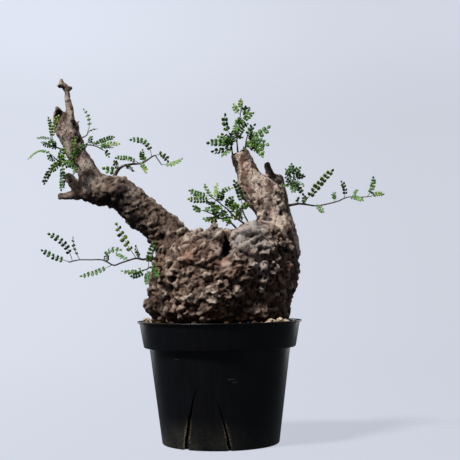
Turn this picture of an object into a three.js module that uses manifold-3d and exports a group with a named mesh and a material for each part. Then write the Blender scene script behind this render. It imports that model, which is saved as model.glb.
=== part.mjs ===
// A bonsai of Operculicarya pachypus, grown in a round black nursery pot.
// Millimetres, +Z up, seen from -Y. The origin is the middle of the pot's foot.

import * as THREE from 'three';
import { mergeVertices } from 'three/addons/utils/BufferGeometryUtils.js';
import Module from 'manifold-3d';

const wasm = await Module();
wasm.setup();

// The pot: a thin-walled tapered body with a wider collar and a turned-out lip
const potHeight = 111;
const lipRadius = 75;
const lipHeight = 1.8;
const lipSlope = 0.4;
const collarTopRadius = 73.1;
const collarFootRadius = 69.2;
const collarFootHeight = 87;
const bodyTopRadius = 64.2;
const footRadius = 53.2;
const edgeRound = 1.5;
const wall = 1.4;
const floorThickness = 2;
const potSegments = 36;
const drainHoleCount = 6;
const drainHoleRadius = 4.5;
const drainHoleRing = 34;
const bodySlope = (bodyTopRadius - footRadius) / collarFootHeight;
const collarSlope = (collarTopRadius - collarFootRadius) / (potHeight - collarFootHeight);

// Splits in the pot's wall, open at the foot: x and width at the foot, x and height at the top,
// and the depth that they reach in to
const potSplits = [
  { footX: -30.4, topX: -20, topZ: 58, width: 4, innerY: -37 },
  { footX: 7.8, topX: -4.5, topZ: 47, width: 3, innerY: -49 },
];

// The soil fills the pot, and the plant's root stands in a plain pocket in it
const gap = 0.35;
const soilTop = 108.6;
const soilSegments = 28;
const rootDepth = 84;
const rootTop = 118;
const rootLowRadii = [40, 32];
const rootTopRadii = [55, 45];
const rootSides = 24;
const rimHeapRadius = 61;
const rimHeapHeight = 1.8;
const soilDip = 0.6;
const stoneSunk = 0.6;

// Stones heaped on the soil by the rim: x, y, radius
const stones = [
  [-60, -28, 4], [-54, -38, 3.2], [-42, -51, 3], [-22, -61, 3], [6, -64, 3],
  [30, -57, 3], [43, -49, 3.8], [52, -41, 3.8], [8, 64, 3],
];

// Swollen and upright limbs: x, y, z of the centre line, half width, half depth
const caudexStations = [
  [-0.5, 0, 112, 60.5, 49.5],
  [-0.5, 0, 117, 62, 50.8],
  [0, 0, 123, 64, 52.5],
  [2.5, 0, 135, 64, 54],
  [4.5, 0, 150, 66, 55],
  [6, 0, 163, 66.5, 54],
  [5.5, 0, 175, 65, 50],
  [4, 1, 184, 60, 43],
  [3, 2, 189, 46, 31],
  [2, 2, 191, 26, 18],
];
const leftArmStations = [
  [-38, -4, 178, 17, 17],
  [-50, -4, 192, 16.5, 17],
  [-58, -5, 201, 15.5, 16],
  [-74, -6, 213.5, 15.8, 16],
  [-89, -7, 228, 14, 14.5],
  [-106, -8, 231.5, 12.8, 13],
  [-118, -8, 231, 10.5, 11],
  [-125, -9, 230.5, 7.5, 8],
];
const leaderStations = [
  [-110, -8, 234, 9.5, 10],
  [-117, -8, 244, 11, 11],
  [-121.5, -8, 252, 10.8, 10.5],
  [-128, -8, 263, 9.5, 9.8],
  [-133, -8, 275, 9.8, 9.6],
  [-136, -8, 284, 9.4, 8.6],
  [-138, -8, 292, 8, 7.4],
  [-138.5, -8, 298, 5.6, 5.5],
];
const rightArmStations = [
  [54, 4, 176, 20, 22],
  [54, 4, 190, 19, 21],
  [52.5, 4, 202, 16, 18],
  [49.5, 4, 212, 17, 17.5],
  [43, 3, 222, 20, 17],
  [35.5, 3, 231, 16, 15],
  [30, 2, 240, 12, 12.4],
  [25.7, 2, 250, 10, 10.4],
  [21.8, 2, 259, 9.6, 9.6],
  [19.8, 2, 266, 9.4, 9.2],
];
const rightFork = [
  [50, 5, 212, 12, 12],
  [54, 5, 225, 10.5, 10.5],
  [54.5, 5, 235, 7.4, 8],
  [57, 5, 241, 5.2, 5.4],
  [58, 5, 245, 3.6, 3.8],
];

// Rods of dead wood and pruned stubs: points along each, radius at its start and end
const deadWood = [
  { points: [[-141, -8, 282], [-144.6, -9, 296], [-145.4, -9, 308]],
    radii: [6.4, 5.2], sides: 7, rows: 3 },
  { points: [[-134, -7, 286], [-135.3, -7, 297], [-136, -7, 306]],
    radii: [6, 3], sides: 7, rows: 3 },
  { points: [[-135.8, -7, 303], [-137.2, -7, 314], [-139, -7, 325], [-143.5, -8, 334]],
    radii: [3.1, 2.3], sides: 6, rows: 5 },
  { points: [[-139, -7, 326.5], [-144, -8, 327.5], [-149, -9, 329.5]],
    radii: [1.9, 1], sides: 5, rows: 2 },
  { points: [[-138.5, -7, 320], [-135.5, -6.5, 324], [-133.5, -6, 327.5]],
    radii: [2, 1.3], sides: 5, rows: 2 },
  { points: [[-121, -9, 232], [-130, -10, 238], [-137, -11, 246.5]],
    radii: [4.4, 2.9], sides: 6, rows: 3 },
  { points: [[-119, -8, 229], [-134, -8, 225.5], [-146.5, -8, 226.3]],
    radii: [5, 2.9], sides: 6, rows: 3 },
  { points: [[51, 4, 230], [48.5, 4, 243], [45, 4, 256]],
    radii: [5.4, 3.4], sides: 7, rows: 3 },
  { points: [[-104, -9, 226], [-107, -10, 216]], radii: [4, 2.2], sides: 6, rows: 1 },
];

// The rotten core of the broken stub: points and radii of the recess
const rottenCore = { points: [[-145, -9, 300], [-145.7, -9, 311]], radii: [1.6, 3.4] };

// Larger single swellings: centre, half sizes, detail
const swellings = [
  { at: [26, -4, 186], size: [17, 30, 13], detail: 1 },
  { at: [-45, -2, 191], size: [16, 22, 12], detail: 1 },
  { at: [-15.6, -6, 192], size: [4.4, 4.6, 5.2], detail: 0 },
  { at: [-3.6, -10, 192.6], size: [4.8, 5, 5.6], detail: 0 },
  { at: [17.6, -18, 192], size: [5, 5.4, 4.6], detail: 0 },
  { at: [-26, -12, 190], size: [5.4, 5, 5], detail: 0 },
  { at: [4, 16, 191], size: [5.6, 5.4, 5], detail: 0 },
  { at: [-16, 20, 189.6], size: [5.6, 6, 5], detail: 0 },
  { at: [-66.5, -6, 127], size: [5.5, 7, 6.5], detail: 0 },
];

// The dark wedge-shaped hollow in the caudex's brow: corners in x and z, and its span in y
const hollowOutline = [[1.2, 168.5], [12.2, 168.5], [9.6, 197], [4.4, 197]];
const hollowFront = -62;
const hollowBack = -27;

// Leaves: a feather of opposite leaflets cut to a thin rib. Shares are of the leaf's or a leaflet's length.
const bladeThickness = 0.6;
const ribHalfWidth = 0.35;
const leafletSlant = THREE.MathUtils.degToRad(68);
const leafletNeck = 0.3;
const leafletShoulder = 0.86;
const leafletTip = 0.1;
const leafletCrowding = 0.88;
const endLeafletWaist = 0.4;
const endLeafletHalfWidth = 0.38;
const stalkShare = 0.2;
const endLeafletShare = 0.85;
const leafletWidthShare = 0.84;
const lastLeafPlace = 0.97;
const twigSides = 5;

// The sockets that the twigs stand in: room round a twig, and how far past the bark they run
const socketGap = 0.4;
const socketMouth = 1.5;

// Each shoot: its woody twig, whose first stretch stands in a socket, and its leaves
// A leaf: place along the twig, tip, bow in the picture plane, turn of the blade, pairs, leaflet length
const shoots = [
  {
    name: 'shoot_leader_left_upper',
    twig: [[-137, -9, 267], [-146, -12, 270], [-149, -15, 273], [-151, -17, 278]],
    radii: [1.2, 0.8],
    leaves: [
      [1, [-152.5, -20, 297], -1, 25, 2, 3.8],
      [0.8, [-142.5, -24, 298], 2, -30, 2, 3.8],
      [0.9, [-164, -12, 279], -1, 40, 2, 3.8],
      [0.66, [-157.5, -30, 272], 1, 24, 1, 4],
    ],
  },
  {
    name: 'shoot_leader_left_lower',
    twig: [[-130, -12, 256], [-139.5, -20, 256], [-144, -24, 257], [-147, -26, 260]],
    radii: [1.3, 0.8],
    leaves: [
      [1, [-172, -16, 260], -6, 35, 3, 4],
      [0.72, [-158, -17, 236], -2, -20, 3, 4.4],
      [0.9, [-150, -42, 259], 1, 30, 1, 4.2],
      [0.6, [-140, -26, 229], 1, 15, 2, 4],
      [0.8, [-148, -37, 245], 1, -35, 1, 4.2],
      [0.66, [-136, -33, 267], 1, 10, 1, 4.2],
    ],
  },
  {
    name: 'shoot_leader_front',
    twig: [[-125.5, -13, 253], [-128, -24, 254], [-128.5, -29, 257]],
    radii: [1.1, 0.8],
    leaves: [
      [0.85, [-117, -27, 272], 2, 20, 3, 3.8],
      [1, [-127, -33, 277], 1, -25, 2, 4],
      [0.92, [-137, -41, 250], 1, 15, 1, 4.2],
    ],
  },
  {
    name: 'shoot_leader_right_upright',
    twig: [[-128, -10, 277], [-119.5, -10, 281], [-118, -10, 285]],
    radii: [1, 0.7],
    leaves: [
      [1, [-122, -8, 306], -3, 20, 3, 3.6],
      [0.85, [-109, -14, 287], 1, 50, 1, 3.4],
    ],
  },
  {
    name: 'shoot_leader_right_spray',
    twig: [[-128, -6, 272.5], [-117.5, -8, 272.5], [-111, -11, 271], [-104, -13, 267]],
    radii: [1.1, 0.7],
    leaves: [
      [0.55, [-94, -7, 280], 1, 25, 3, 3.6],
      [0.7, [-88.5, -14, 272.5], 1, -35, 3, 3.8],
      [0.88, [-94, -22, 269], 1, 30, 1, 3.8],
      [0.45, [-113, -20, 279], 1, 20, 1, 3.6],
      [1, [-98, -13, 260.5], 1, 10, 1, 3.8],
    ],
  },
  {
    name: 'shoot_left_arm_long',
    twig: [[-97, -5, 238], [-92.5, -5, 248], [-87, -5, 253], [-79, -7, 254.5], [-71, -8, 255],
      [-66, -8, 257], [-58, -9, 262], [-55, -10, 259], [-51, -12, 253]],
    radii: [2.2, 0.7],
    leaves: [
      [0.76, [-79, -16, 277], -6, 20, 4, 4],
      [0.56, [-93, -14, 260], -2, 40, 3, 3.4],
      [0.7, [-71, 2, 264], 1, 15, 1, 3.6],
      [0.62, [-68, -17, 267], 1, -20, 1, 3.4],
      [0.82, [-44.5, -4, 257.5], 3, 25, 1, 4],
      [1, [-31.5, -16, 257.5], -2, -30, 3, 4],
      [0.52, [-64, -14, 246], 2, 20, 1, 3.8],
      [0.2, [-105, -8, 250.5], 1, -20, 1, 5],
      [0.26, [-94.5, -18, 256], 1, 15, 1, 4.8],
      [0.3, [-75.5, -15, 248], 1, 30, 1, 3.8],
    ],
  },
  {
    name: 'shoot_caudex_left_long',
    twig: [[-53, -17, 168], [-64, -23.5, 167.5], [-68, -26, 167], [-74, -28, 168], [-81, -30, 166],
      [-87, -32, 164], [-93, -34, 162], [-99, -35, 165], [-104, -36, 167], [-113, -38, 167],
      [-123, -40, 167], [-132, -42, 165]],
    radii: [1.4, 0.7],
    leaves: [
      [0.27, [-91, -38, 199.5], 1, 10, 4, 5],
      [0.34, [-93, -20, 173], 1, 70, 1, 3.6],
      [0.22, [-74, -38, 179], 1, 30, 1, 3.4],
      [0.64, [-85.5, -46, 176], 4, -25, 3, 3.8],
      [0.54, [-123, -33, 152], 1, 20, 3, 3.8],
      [0.88, [-129, -40, 187.5], 1.5, 35, 2, 3.6],
      [1, [-155.5, -46, 176], 1, -20, 4, 3.8],
      [0.96, [-147.5, -54, 190.5], -4, 25, 3, 4],
      [0.58, [-98, -47, 172], 1, 0, 1, 3.2],
    ],
  },
  {
    name: 'shoot_caudex_left_tuft',
    twig: [[-48, -24, 161], [-60, -34.5, 160], [-64, -37, 158], [-68, -39, 157]],
    radii: [1.3, 0.8],
    leaves: [
      [1, [-86, -42, 156], 1, 30, 3, 3.6],
      [0.9, [-77, -50, 151.5], 1, -20, 1, 4],
      [0.7, [-52, -49, 152], 1, 15, 2, 4],
      [0.74, [-57, -41, 182], 1, -15, 3, 4],
      [0.82, [-63, -48, 145], 1, 20, 1, 4],
    ],
  },
  {
    name: 'shoot_crown_middle',
    twig: [[19, 2, 260], [18.3, 2, 270], [18, 1, 278], [20, 0, 288], [21, 0, 297], [22, 0, 305]],
    radii: [1.2, 0.6],
    leaves: [
      [1, [22, 0, 315], 0.5, 10, 1, 3.2],
      [0.94, [30, -4, 307], 2, 30, 1, 3.4],
      [0.9, [14.5, 3, 311], 1, -20, 1, 3.4],
      [0.66, [33.5, -4, 301.5], 1, 25, 2, 3.6],
      [0.55, [28.5, 6, 293], 1, -10, 1, 3.4],
      [0.3, [15.5, -16, 283], 1, 20, 1, 4.2],
      [0.36, [24, -14, 288], 1, -20, 1, 4.2],
      [0.46, [17, 14, 293], 1, 10, 1, 4],
    ],
  },
  {
    name: 'shoot_crown_left',
    twig: [[14, 0, 260], [13, -1, 270], [12.5, -3, 281]],
    radii: [1.2, 0.8],
    leaves: [
      [1, [6, -5, 300.5], 2, 10, 3, 5],
      [0.55, [-9.5, -4, 274], -1, 30, 3, 4],
      [0.5, [-5.5, -12, 264.5], 1, -25, 2, 4.2],
      [0.7, [0, 9, 281], 1, 15, 1, 4.2],
      [0.55, [4, -16, 259], 1, 20, 1, 3.8],
      [0.82, [4, -16, 280], 1, -20, 1, 4.2],
    ],
  },
  {
    name: 'shoot_crown_right',
    twig: [[25.5, 2, 260], [25.8, 1, 271], [26.5, 1, 276], [28, 2, 282]],
    radii: [1.2, 0.8],
    leaves: [
      [1, [34.5, 3, 292], 1, 30, 2, 3.4],
      [0.84, [49, -2, 288], -2, -15, 3, 5],
      [0.66, [46.5, -9, 271], 1, 20, 3, 4.4],
      [0.6, [43, 7, 264], 3, -25, 1, 4.6],
      [0.62, [42, -17, 259], 4, 30, 1, 4],
      [0.9, [38, 14, 282], 1, 10, 1, 4.4],
    ],
  },
  {
    name: 'shoot_shoulder_back',
    twig: [[31, 7, 194], [20.5, 4.5, 202], [13, 1, 207.5], [8, -2, 213], [4, -4, 216],
      [-1, -6, 220], [-8, -8, 225]],
    radii: [1.3, 0.7],
    leaves: [
      [1, [-27, -10, 229.5], 1, 25, 3, 4],
      [0.92, [-27.5, -18, 221], 1, -30, 3, 4],
      [0.88, [-13, -2, 236], 1, 20, 1, 3.8],
      [0.8, [13, -9, 232.5], 4, 30, 3, 3.2],
      [0.84, [-1, 1, 237], 1, -15, 1, 3.8],
      [0.64, [0, 1, 205.5], 1, 20, 1, 3.4],
      [0.6, [13, -18, 223], 1, -20, 1, 4.6],
      [0.76, [4, -21, 228], 1, 15, 1, 4.6],
      [0.7, [-9, -14, 213], 1, 10, 1, 4],
      [0.55, [14, 13, 222], 1, 20, 2, 4],
      [0.85, [-11, 8, 219], 1, -25, 1, 4.2],
    ],
  },
  {
    name: 'shoot_shoulder_low',
    twig: [[22, 12, 189], [12.2, 8, 200], [4, -2, 203.5], [-2, -8, 206], [-7, -12, 208.5], [-14, -16, 211]],
    radii: [1.3, 0.7],
    leaves: [
      [1, [-23.5, -19, 214.5], 1, 20, 2, 3.4],
      [0.66, [-9, -12, 202], 1, -25, 1, 4],
      [0.45, [8, -14, 207.5], 1, 15, 1, 4.4],
      [0.55, [8, -23, 200], 1, -15, 2, 4.2],
      [0.75, [0, -26, 211], 1, 25, 1, 4.4],
      [0.6, [-14, 3, 204], 1, 10, 1, 4],
    ],
  },
  {
    name: 'shoot_shoulder_front',
    twig: [[32, -3, 192], [25.8, -3.5, 203], [23, -6, 209], [21.5, -9, 215]],
    radii: [1.2, 0.8],
    leaves: [
      [1, [14.5, -17, 238], -1.5, 20, 3, 3.8],
      [0.92, [10.5, 4, 219], 1, -20, 1, 4.2],
      [0.95, [12, -19, 214.5], 1, 15, 1, 4.2],
      [0.7, [12, -13, 206], 1, -15, 1, 4.6],
      [0.8, [26.5, -28, 217], 1, 25, 2, 4.2],
    ],
  },
  {
    name: 'shoot_fork_right_tuft',
    twig: [[56, 0, 232], [66.5, -3, 235.5], [69, -4, 239], [69.5, -5, 243]],
    radii: [1.3, 0.8],
    leaves: [
      [1, [67, -5, 254], 1, 20, 1, 3.6],
      [0.9, [75, -12, 250], 1, -30, 1, 4],
      [0.84, [80.5, 2, 243], 1, 25, 2, 3.8],
      [0.7, [78, -14, 232], 1, -20, 2, 3.8],
      [0.62, [79, -2, 225], 1, 15, 2, 4],
      [0.66, [67, -19, 226], 1, 10, 1, 4.2],
      [0.74, [75, 12, 231], 1, -15, 1, 4.2],
      [0.78, [61, -18, 243], 1, 20, 1, 4],
    ],
  },
  {
    name: 'shoot_right_long',
    twig: [[58, 5, 214.5], [72, 3, 217], [77, 2, 217], [83, 1, 216], [90, 0, 215], [98, -2, 216],
      [109, -4, 218.5], [115, -5, 221], [120, -6, 222.3], [128, -7, 222], [134, -8, 222], [140, -9, 222.5]],
    radii: [1.4, 0.6],
    leaves: [
      [0.25, [105.5, -8, 248], 1, 12, 4, 5.2],
      [0.2, [72, -10, 222], 1, 20, 1, 3.8],
      [0.28, [80.5, 11, 225], 1, -20, 1, 3.8],
      [0.36, [96, -12, 208.5], 1, 30, 1, 3.4],
      [0.74, [131.5, -18, 218], 1, -40, 2, 3.2],
      [0.7, [112.5, -11, 237], -2, 20, 2, 3.4],
      [1, [151, -12, 224.5], 1, 30, 1, 3],
      [0.95, [142, -13, 240], -2, -15, 2, 3.4],
      [0.6, [108, 7, 228], 1, 25, 1, 3.8],
      [0.84, [128, 6, 230], 1, -20, 1, 3.4],
    ],
  },
];

// Colours, roughness and metalness
const potMaterial = { color: 0x0e1013, roughness: 0.45, metalness: 0 };
const soilMaterial = { color: 0x6b5846, roughness: 0.95, metalness: 0 };
const barkMaterial = { color: 0x6d5e54, roughness: 0.9, metalness: 0 };
const leafMaterial = { color: 0x3c6127, roughness: 0.5, metalness: 0 };

function seededRandom(seed) {
  let state = seed;
  return () => {
    state = (state * 1664525 + 1013904223) % 4294967296;
    return state / 4294967296;
  };
}

function vector([x, y, z]) {
  return new THREE.Vector3(x, y, z);
}

// A closed geometry as a solid that can be joined and cut
function solidOf(geometry) {
  const bare = geometry.clone();
  bare.deleteAttribute('normal');
  bare.deleteAttribute('uv');
  const merged = mergeVertices(bare, 1e-4);
  const mesh = new wasm.Mesh({
    numProp: 3,
    vertProperties: new Float32Array(merged.attributes.position.array),
    triVerts: new Uint32Array(merged.index.array),
  });
  return new wasm.Manifold(mesh);
}

function meshOf(name, solid, material) {
  const { vertProperties, triVerts } = solid.getMesh();
  const geometry = new THREE.BufferGeometry();
  geometry.setAttribute('position', new THREE.BufferAttribute(vertProperties, 3));
  geometry.setIndex(new THREE.BufferAttribute(triVerts, 1));
  geometry.computeVertexNormals();
  const mesh = new THREE.Mesh(geometry, new THREE.MeshStandardMaterial(material));
  mesh.name = name;
  return mesh;
}

function joined(solids) {
  return solids.reduce((whole, solid) => whole.add(solid));
}

// The largest body of a solid, without the loose scraps that cutting leaves
function withoutScraps(solid) {
  const bySize = solid.decompose().sort((one, other) => other.volume() - one.volume());
  return bySize[0];
}

// A round rod along a curve through the points, tapering from its first radius to its last
function taperedRod({ points, radii, sides, rows }) {
  const curve = new THREE.CatmullRomCurve3(points.map(vector), false, 'centripetal');
  const frames = curve.computeFrenetFrames(rows, false);
  const geometry = new THREE.CylinderGeometry(1, 1, 1, sides, rows);
  const position = geometry.attributes.position;
  for (let i = 0; i < position.count; i++) {
    const row = Math.round((position.getY(i) + 0.5) * rows);
    const share = row / rows;
    const radius = THREE.MathUtils.lerp(radii[0], radii[1], share);
    const place = curve.getPointAt(share);
    place.addScaledVector(frames.normals[row], position.getX(i) * radius);
    place.addScaledVector(frames.binormals[row], -position.getZ(i) * radius);
    position.setXYZ(i, place.x, place.y, place.z);
  }
  return solidOf(geometry);
}

// The outer surface of a limb, from its stations: turn goes once round it, share runs from end to end
function limbSurface(stations, swell) {
  const centres = new THREE.CatmullRomCurve3(stations.map(vector), false, 'centripetal');
  const radii = new THREE.SplineCurve(stations.map((s) => new THREE.Vector2(s[3], s[4])));
  const lengths = [0];
  for (let i = 1; i < stations.length; i++) {
    const steps = stations[i].slice(0, 4).map((value, k) => value - stations[i - 1][k]);
    lengths.push(lengths[i - 1] + Math.hypot(...steps));
  }
  const alongAt = (share) => {
    const length = THREE.MathUtils.clamp(share, 0, 1) * lengths.at(-1);
    const i = Math.max(1, lengths.findIndex((end) => end >= length - 1e-9));
    return (i - 1 + (length - lengths[i - 1]) / (lengths[i] - lengths[i - 1])) / (stations.length - 1);
  };
  const point = (turn, share) => {
    const along = alongAt(share);
    const tangent = centres.getTangent(along);
    const across = new THREE.Vector3(0, 1, 0).cross(tangent).normalize();
    const deep = tangent.clone().cross(across);
    const angle = turn * 2 * Math.PI;
    const wave = swell * Math.sin(3 * angle + 9 * share) * Math.sin(2 * angle - 5 * share);
    const { x: halfWidth, y: halfDepth } = radii.getPoint(along);
    const place = centres.getPoint(along);
    place.addScaledVector(across, (halfWidth + wave) * Math.cos(angle));
    return place.addScaledVector(deep, (halfDepth + wave) * Math.sin(angle));
  };
  const lifted = (turn, share, lift) => {
    const step = 0.01;
    const round = point(turn + step, share).sub(point(turn - step, share));
    const along = point(turn, share + step).sub(point(turn, share - step));
    return point(turn, share).addScaledVector(round.cross(along).normalize(), lift);
  };
  const centre = (share) => centres.getPoint(alongAt(share));
  const widest = Math.max(...stations.map((s) => s[3]));
  const girth = (share) => radii.getPoint(alongAt(share)).x / widest;
  return { lifted, centre, girth };
}

// A limb covered with knobs of bark. The knobs stand in staggered rows, six neighbours to each, with
// their edges down in the furrows. Each row's corners zigzag between the knobs below and above.
// A share of the knobs is blunt, with a flat crown, and the others rise to one point.
function knobbyLimb({ stations, columns, rows, knob, furrow, blunt, swell = 0, seed }) {
  const random = seededRandom(seed);
  const sway = 0.28;
  const crownTilt = 0.6;
  const crownSize = [0.42, 0.62];
  const spread = (size) => (random() * 2 - 1) * size;
  const surface = limbSurface(stations, swell);
  const places = [];
  const faces = [];
  const put = (turn, share, lift) => places.push(surface.lifted(turn, share, lift)) - 1;
  const corners = [];
  for (let j = 0; j <= rows; j++) {
    const atEnd = j === 0 || j === rows;
    corners.push([]);
    for (let k = 0; k < 2 * columns; k++) {
      const zigzag = k % 2 === j % 2 ? -1 / 6 : 1 / 6;
      const share = atEnd ? j / rows : (j + zigzag + spread(sway / 2)) / rows;
      const lift = atEnd ? 0 : -furrow * random();
      corners[j].push(put((k + spread(sway)) / (2 * columns), share, lift));
    }
  }
  for (let j = 0; j < rows; j++) {
    for (let i = 0; i < columns; i++) {
      const c = 2 * i + (j % 2);
      const corner = (row, k) => corners[row][(k + 2 * columns) % (2 * columns)];
      const low = [corner(j, c - 1), corner(j, c), corner(j, c + 1)];
      const high = [corner(j + 1, c - 1), corner(j + 1, c), corner(j + 1, c + 1)];
      const height = knob[0] + (knob[1] - knob[0]) * random() ** 1.5;
      const lift = height * Math.min(1, 1.2 * surface.girth((j + 0.5) / rows));
      const crown = crownSize[0] + (crownSize[1] - crownSize[0]) * random();
      const middle = [c + spread(sway), j + 0.5 + spread(sway / 2)];
      if (random() > blunt) {
        const peak = put(middle[0] / (2 * columns), middle[1] / rows, lift);
        const rim = [low[0], low[1], low[2], high[2], high[1], high[0]];
        rim.forEach((place, k) => faces.push([place, rim[(k + 1) % rim.length], peak]));
        continue;
      }
      const ring = [[-1, 0], [0, -0.62], [1, 0], [0, 0.62]].map(([across, up]) => {
        const turn = (middle[0] + across * crown) / (2 * columns);
        return put(turn, (middle[1] + up * crown) / rows, lift + spread(crownTilt));
      });
      faces.push([high[0], low[0], ring[0]], [low[2], high[2], ring[2]]);
      faces.push([low[0], low[1], ring[1]], [low[0], ring[1], ring[0]]);
      faces.push([low[1], low[2], ring[2]], [low[1], ring[2], ring[1]]);
      faces.push([high[2], high[1], ring[3]], [high[2], ring[3], ring[2]]);
      faces.push([high[1], high[0], ring[0]], [high[1], ring[0], ring[3]]);
      faces.push([ring[0], ring[1], ring[2]], [ring[0], ring[2], ring[3]]);
    }
  }
  const foot = places.push(surface.centre(0)) - 1;
  const top = places.push(surface.centre(1)) - 1;
  for (let k = 0; k < 2 * columns; k++) {
    const next = (k + 1) % (2 * columns);
    faces.push([foot, corners[0][next], corners[0][k]], [top, corners[rows][k], corners[rows][next]]);
  }
  const geometry = new THREE.BufferGeometry().setFromPoints(places);
  geometry.setIndex(faces.flat());
  return solidOf(geometry);
}

function swelling({ at, size, detail }) {
  const geometry = new THREE.IcosahedronGeometry(1, detail);
  geometry.scale(...size);
  geometry.translate(...at);
  return solidOf(geometry);
}

// The plain buried root, an upright elliptical plug, grown outwards by an allowance
function rootPlug(allowance) {
  const geometry = new THREE.CylinderGeometry(1, 1, 1, rootSides, 1);
  geometry.rotateX(Math.PI / 2);
  const position = geometry.attributes.position;
  for (let i = 0; i < position.count; i++) {
    const isTop = position.getZ(i) > 0;
    const [halfWidth, halfDepth] = isTop ? rootTopRadii : rootLowRadii;
    position.setX(i, position.getX(i) * (halfWidth + allowance));
    position.setY(i, position.getY(i) * (halfDepth + allowance));
    position.setZ(i, isTop ? rootTop : rootDepth - allowance);
  }
  return solidOf(geometry);
}

function hollow() {
  const outline = new THREE.Shape(hollowOutline.map(([x, z]) => new THREE.Vector2(x, z)));
  const depth = hollowBack - hollowFront;
  const geometry = new THREE.ExtrudeGeometry(outline, { depth, bevelEnabled: false });
  geometry.rotateX(Math.PI / 2);
  geometry.translate(0, hollowBack, 0);
  return solidOf(geometry);
}

// The straight socket that a shoot's twig stands in, a little wider than the twig
function socket({ twig, radii }) {
  const root = vector(twig[0]);
  const mouth = vector(twig[1]);
  const direction = mouth.clone().sub(root).normalize();
  const points = [
    root.addScaledVector(direction, -socketGap).toArray(),
    mouth.addScaledVector(direction, socketMouth).toArray(),
  ];
  const radius = radii[0] + socketGap;
  return taperedRod({ points, radii: [radius, radius], sides: 6, rows: 1 });
}

function trunk() {
  const limbs = [
    knobbyLimb({
      stations: caudexStations, columns: 24, rows: 10,
      knob: [1.6, 5.4], furrow: 2.2, blunt: 0.5, swell: 2.4, seed: 7,
    }),
    knobbyLimb({
      stations: leftArmStations, columns: 9, rows: 8,
      knob: [0.8, 3.2], furrow: 1.2, blunt: 0.3, seed: 12,
    }),
    knobbyLimb({
      stations: leaderStations, columns: 7, rows: 5,
      knob: [0.4, 1.6], furrow: 0.8, blunt: 0, seed: 31,
    }),
    knobbyLimb({
      stations: rightArmStations, columns: 9, rows: 7,
      knob: [0.5, 2.2], furrow: 0.9, blunt: 0, seed: 45,
    }),
    knobbyLimb({
      stations: rightFork, columns: 7, rows: 3,
      knob: [0.5, 2], furrow: 0.8, blunt: 0, seed: 58,
    }),
    rootPlug(0),
    ...deadWood.map(taperedRod),
    ...swellings.map(swelling),
  ];
  const cuts = [
    hollow(),
    taperedRod({ ...rottenCore, sides: 7, rows: 1 }),
    ...shoots.map(socket),
  ];
  return withoutScraps(cuts.reduce((whole, cut) => whole.subtract(cut), joined(limbs)));
}

// The outline of a leaf lying along +X: stalk, pairs of leaflets widest near their ends, and an end leaflet
function leafOutline(length, pairs, leaflet) {
  const stalk = length * stalkShare;
  const endLeaflet = leaflet * endLeafletShare;
  const spacing = (length - stalk - endLeaflet) / pairs;
  const halfWidth = Math.min(leafletWidthShare * leaflet, leafletCrowding * spacing) / 2;
  const side = [];
  for (let pair = 0; pair < pairs; pair++) {
    const root = stalk + (pair + 0.5) * spacing;
    const reach = new THREE.Vector2(Math.cos(leafletSlant), Math.sin(leafletSlant)).multiplyScalar(leaflet);
    const across = new THREE.Vector2(reach.y, -reach.x).setLength(halfWidth);
    const base = new THREE.Vector2(root, ribHalfWidth);
    const outer = base.clone().addScaledVector(reach, leafletShoulder);
    side.push(new THREE.Vector2(root - leafletNeck, ribHalfWidth));
    side.push(outer.clone().sub(across));
    side.push(outer.clone().add(across).addScaledVector(reach, leafletTip));
    side.push(new THREE.Vector2(root + leafletNeck, ribHalfWidth));
  }
  side.push(new THREE.Vector2(length - endLeaflet * endLeafletWaist, endLeafletHalfWidth * leaflet));
  const mirrored = [...side].reverse().map((corner) => new THREE.Vector2(corner.x, -corner.y));
  const corners = [new THREE.Vector2(0, 0), ...side, new THREE.Vector2(length, 0), ...mirrored];
  return new THREE.Shape(corners.reverse());
}

// A thin leaf bent along an arch from a point on its twig to its tip
function leafBlade(base, [, tipPlace, bow, turn, pairs, leaflet]) {
  const tip = vector(tipPlace);
  const chord = tip.clone().sub(base);
  const inPicture = new THREE.Vector3(-chord.z, 0, chord.x).normalize();
  const middle = base.clone().add(tip).multiplyScalar(0.5).addScaledVector(inPicture, 2 * bow);
  const rib = new THREE.QuadraticBezierCurve3(base, middle, tip);
  const turnAngle = THREE.MathUtils.degToRad(turn);
  const facing = new THREE.Vector3(0, -1, 0).applyAxisAngle(chord.clone().normalize(), turnAngle);
  const length = rib.getLength();
  const geometry = new THREE.ExtrudeGeometry(leafOutline(length, pairs, leaflet), {
    depth: bladeThickness, bevelEnabled: false,
  });
  const position = geometry.attributes.position;
  for (let i = 0; i < position.count; i++) {
    const share = THREE.MathUtils.clamp(position.getX(i) / length, 0, 1);
    const tangent = rib.getTangentAt(share);
    const normal = facing.clone().addScaledVector(tangent, -facing.dot(tangent)).normalize();
    const side = normal.clone().cross(tangent);
    const place = rib.getPointAt(share);
    place.addScaledVector(side, position.getY(i));
    place.addScaledVector(normal, position.getZ(i) - bladeThickness / 2);
    position.setXYZ(i, place.x, place.y, place.z);
  }
  return solidOf(geometry);
}

// A shoot's twig runs straight through its socket before it bends
function shoot({ twig, radii, leaves }) {
  const halfWay = vector(twig[0]).lerp(vector(twig[1]), 0.5).toArray();
  const points = [twig[0], halfWay, ...twig.slice(1)];
  const curve = new THREE.CatmullRomCurve3(points.map(vector), false, 'centripetal');
  const rows = Math.max(3, twig.length);
  const middleOfRod = (share) => {
    const row = Math.min(rows - 1, Math.floor(share * rows));
    return curve.getPointAt(row / rows).lerp(curve.getPointAt((row + 1) / rows), share * rows - row);
  };
  const rod = taperedRod({ points, radii, sides: twigSides, rows });
  const blades = leaves.map((leaf) => leafBlade(middleOfRod(Math.min(leaf[0], lastLeafPlace)), leaf));
  return joined([rod, ...blades]);
}

// A closed turned body from its profile of radii and heights
function turned(profile, segments) {
  const geometry = new THREE.LatheGeometry(profile.map(([r, z]) => new THREE.Vector2(r, z)), segments);
  return geometry.rotateX(Math.PI / 2);
}

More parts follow.
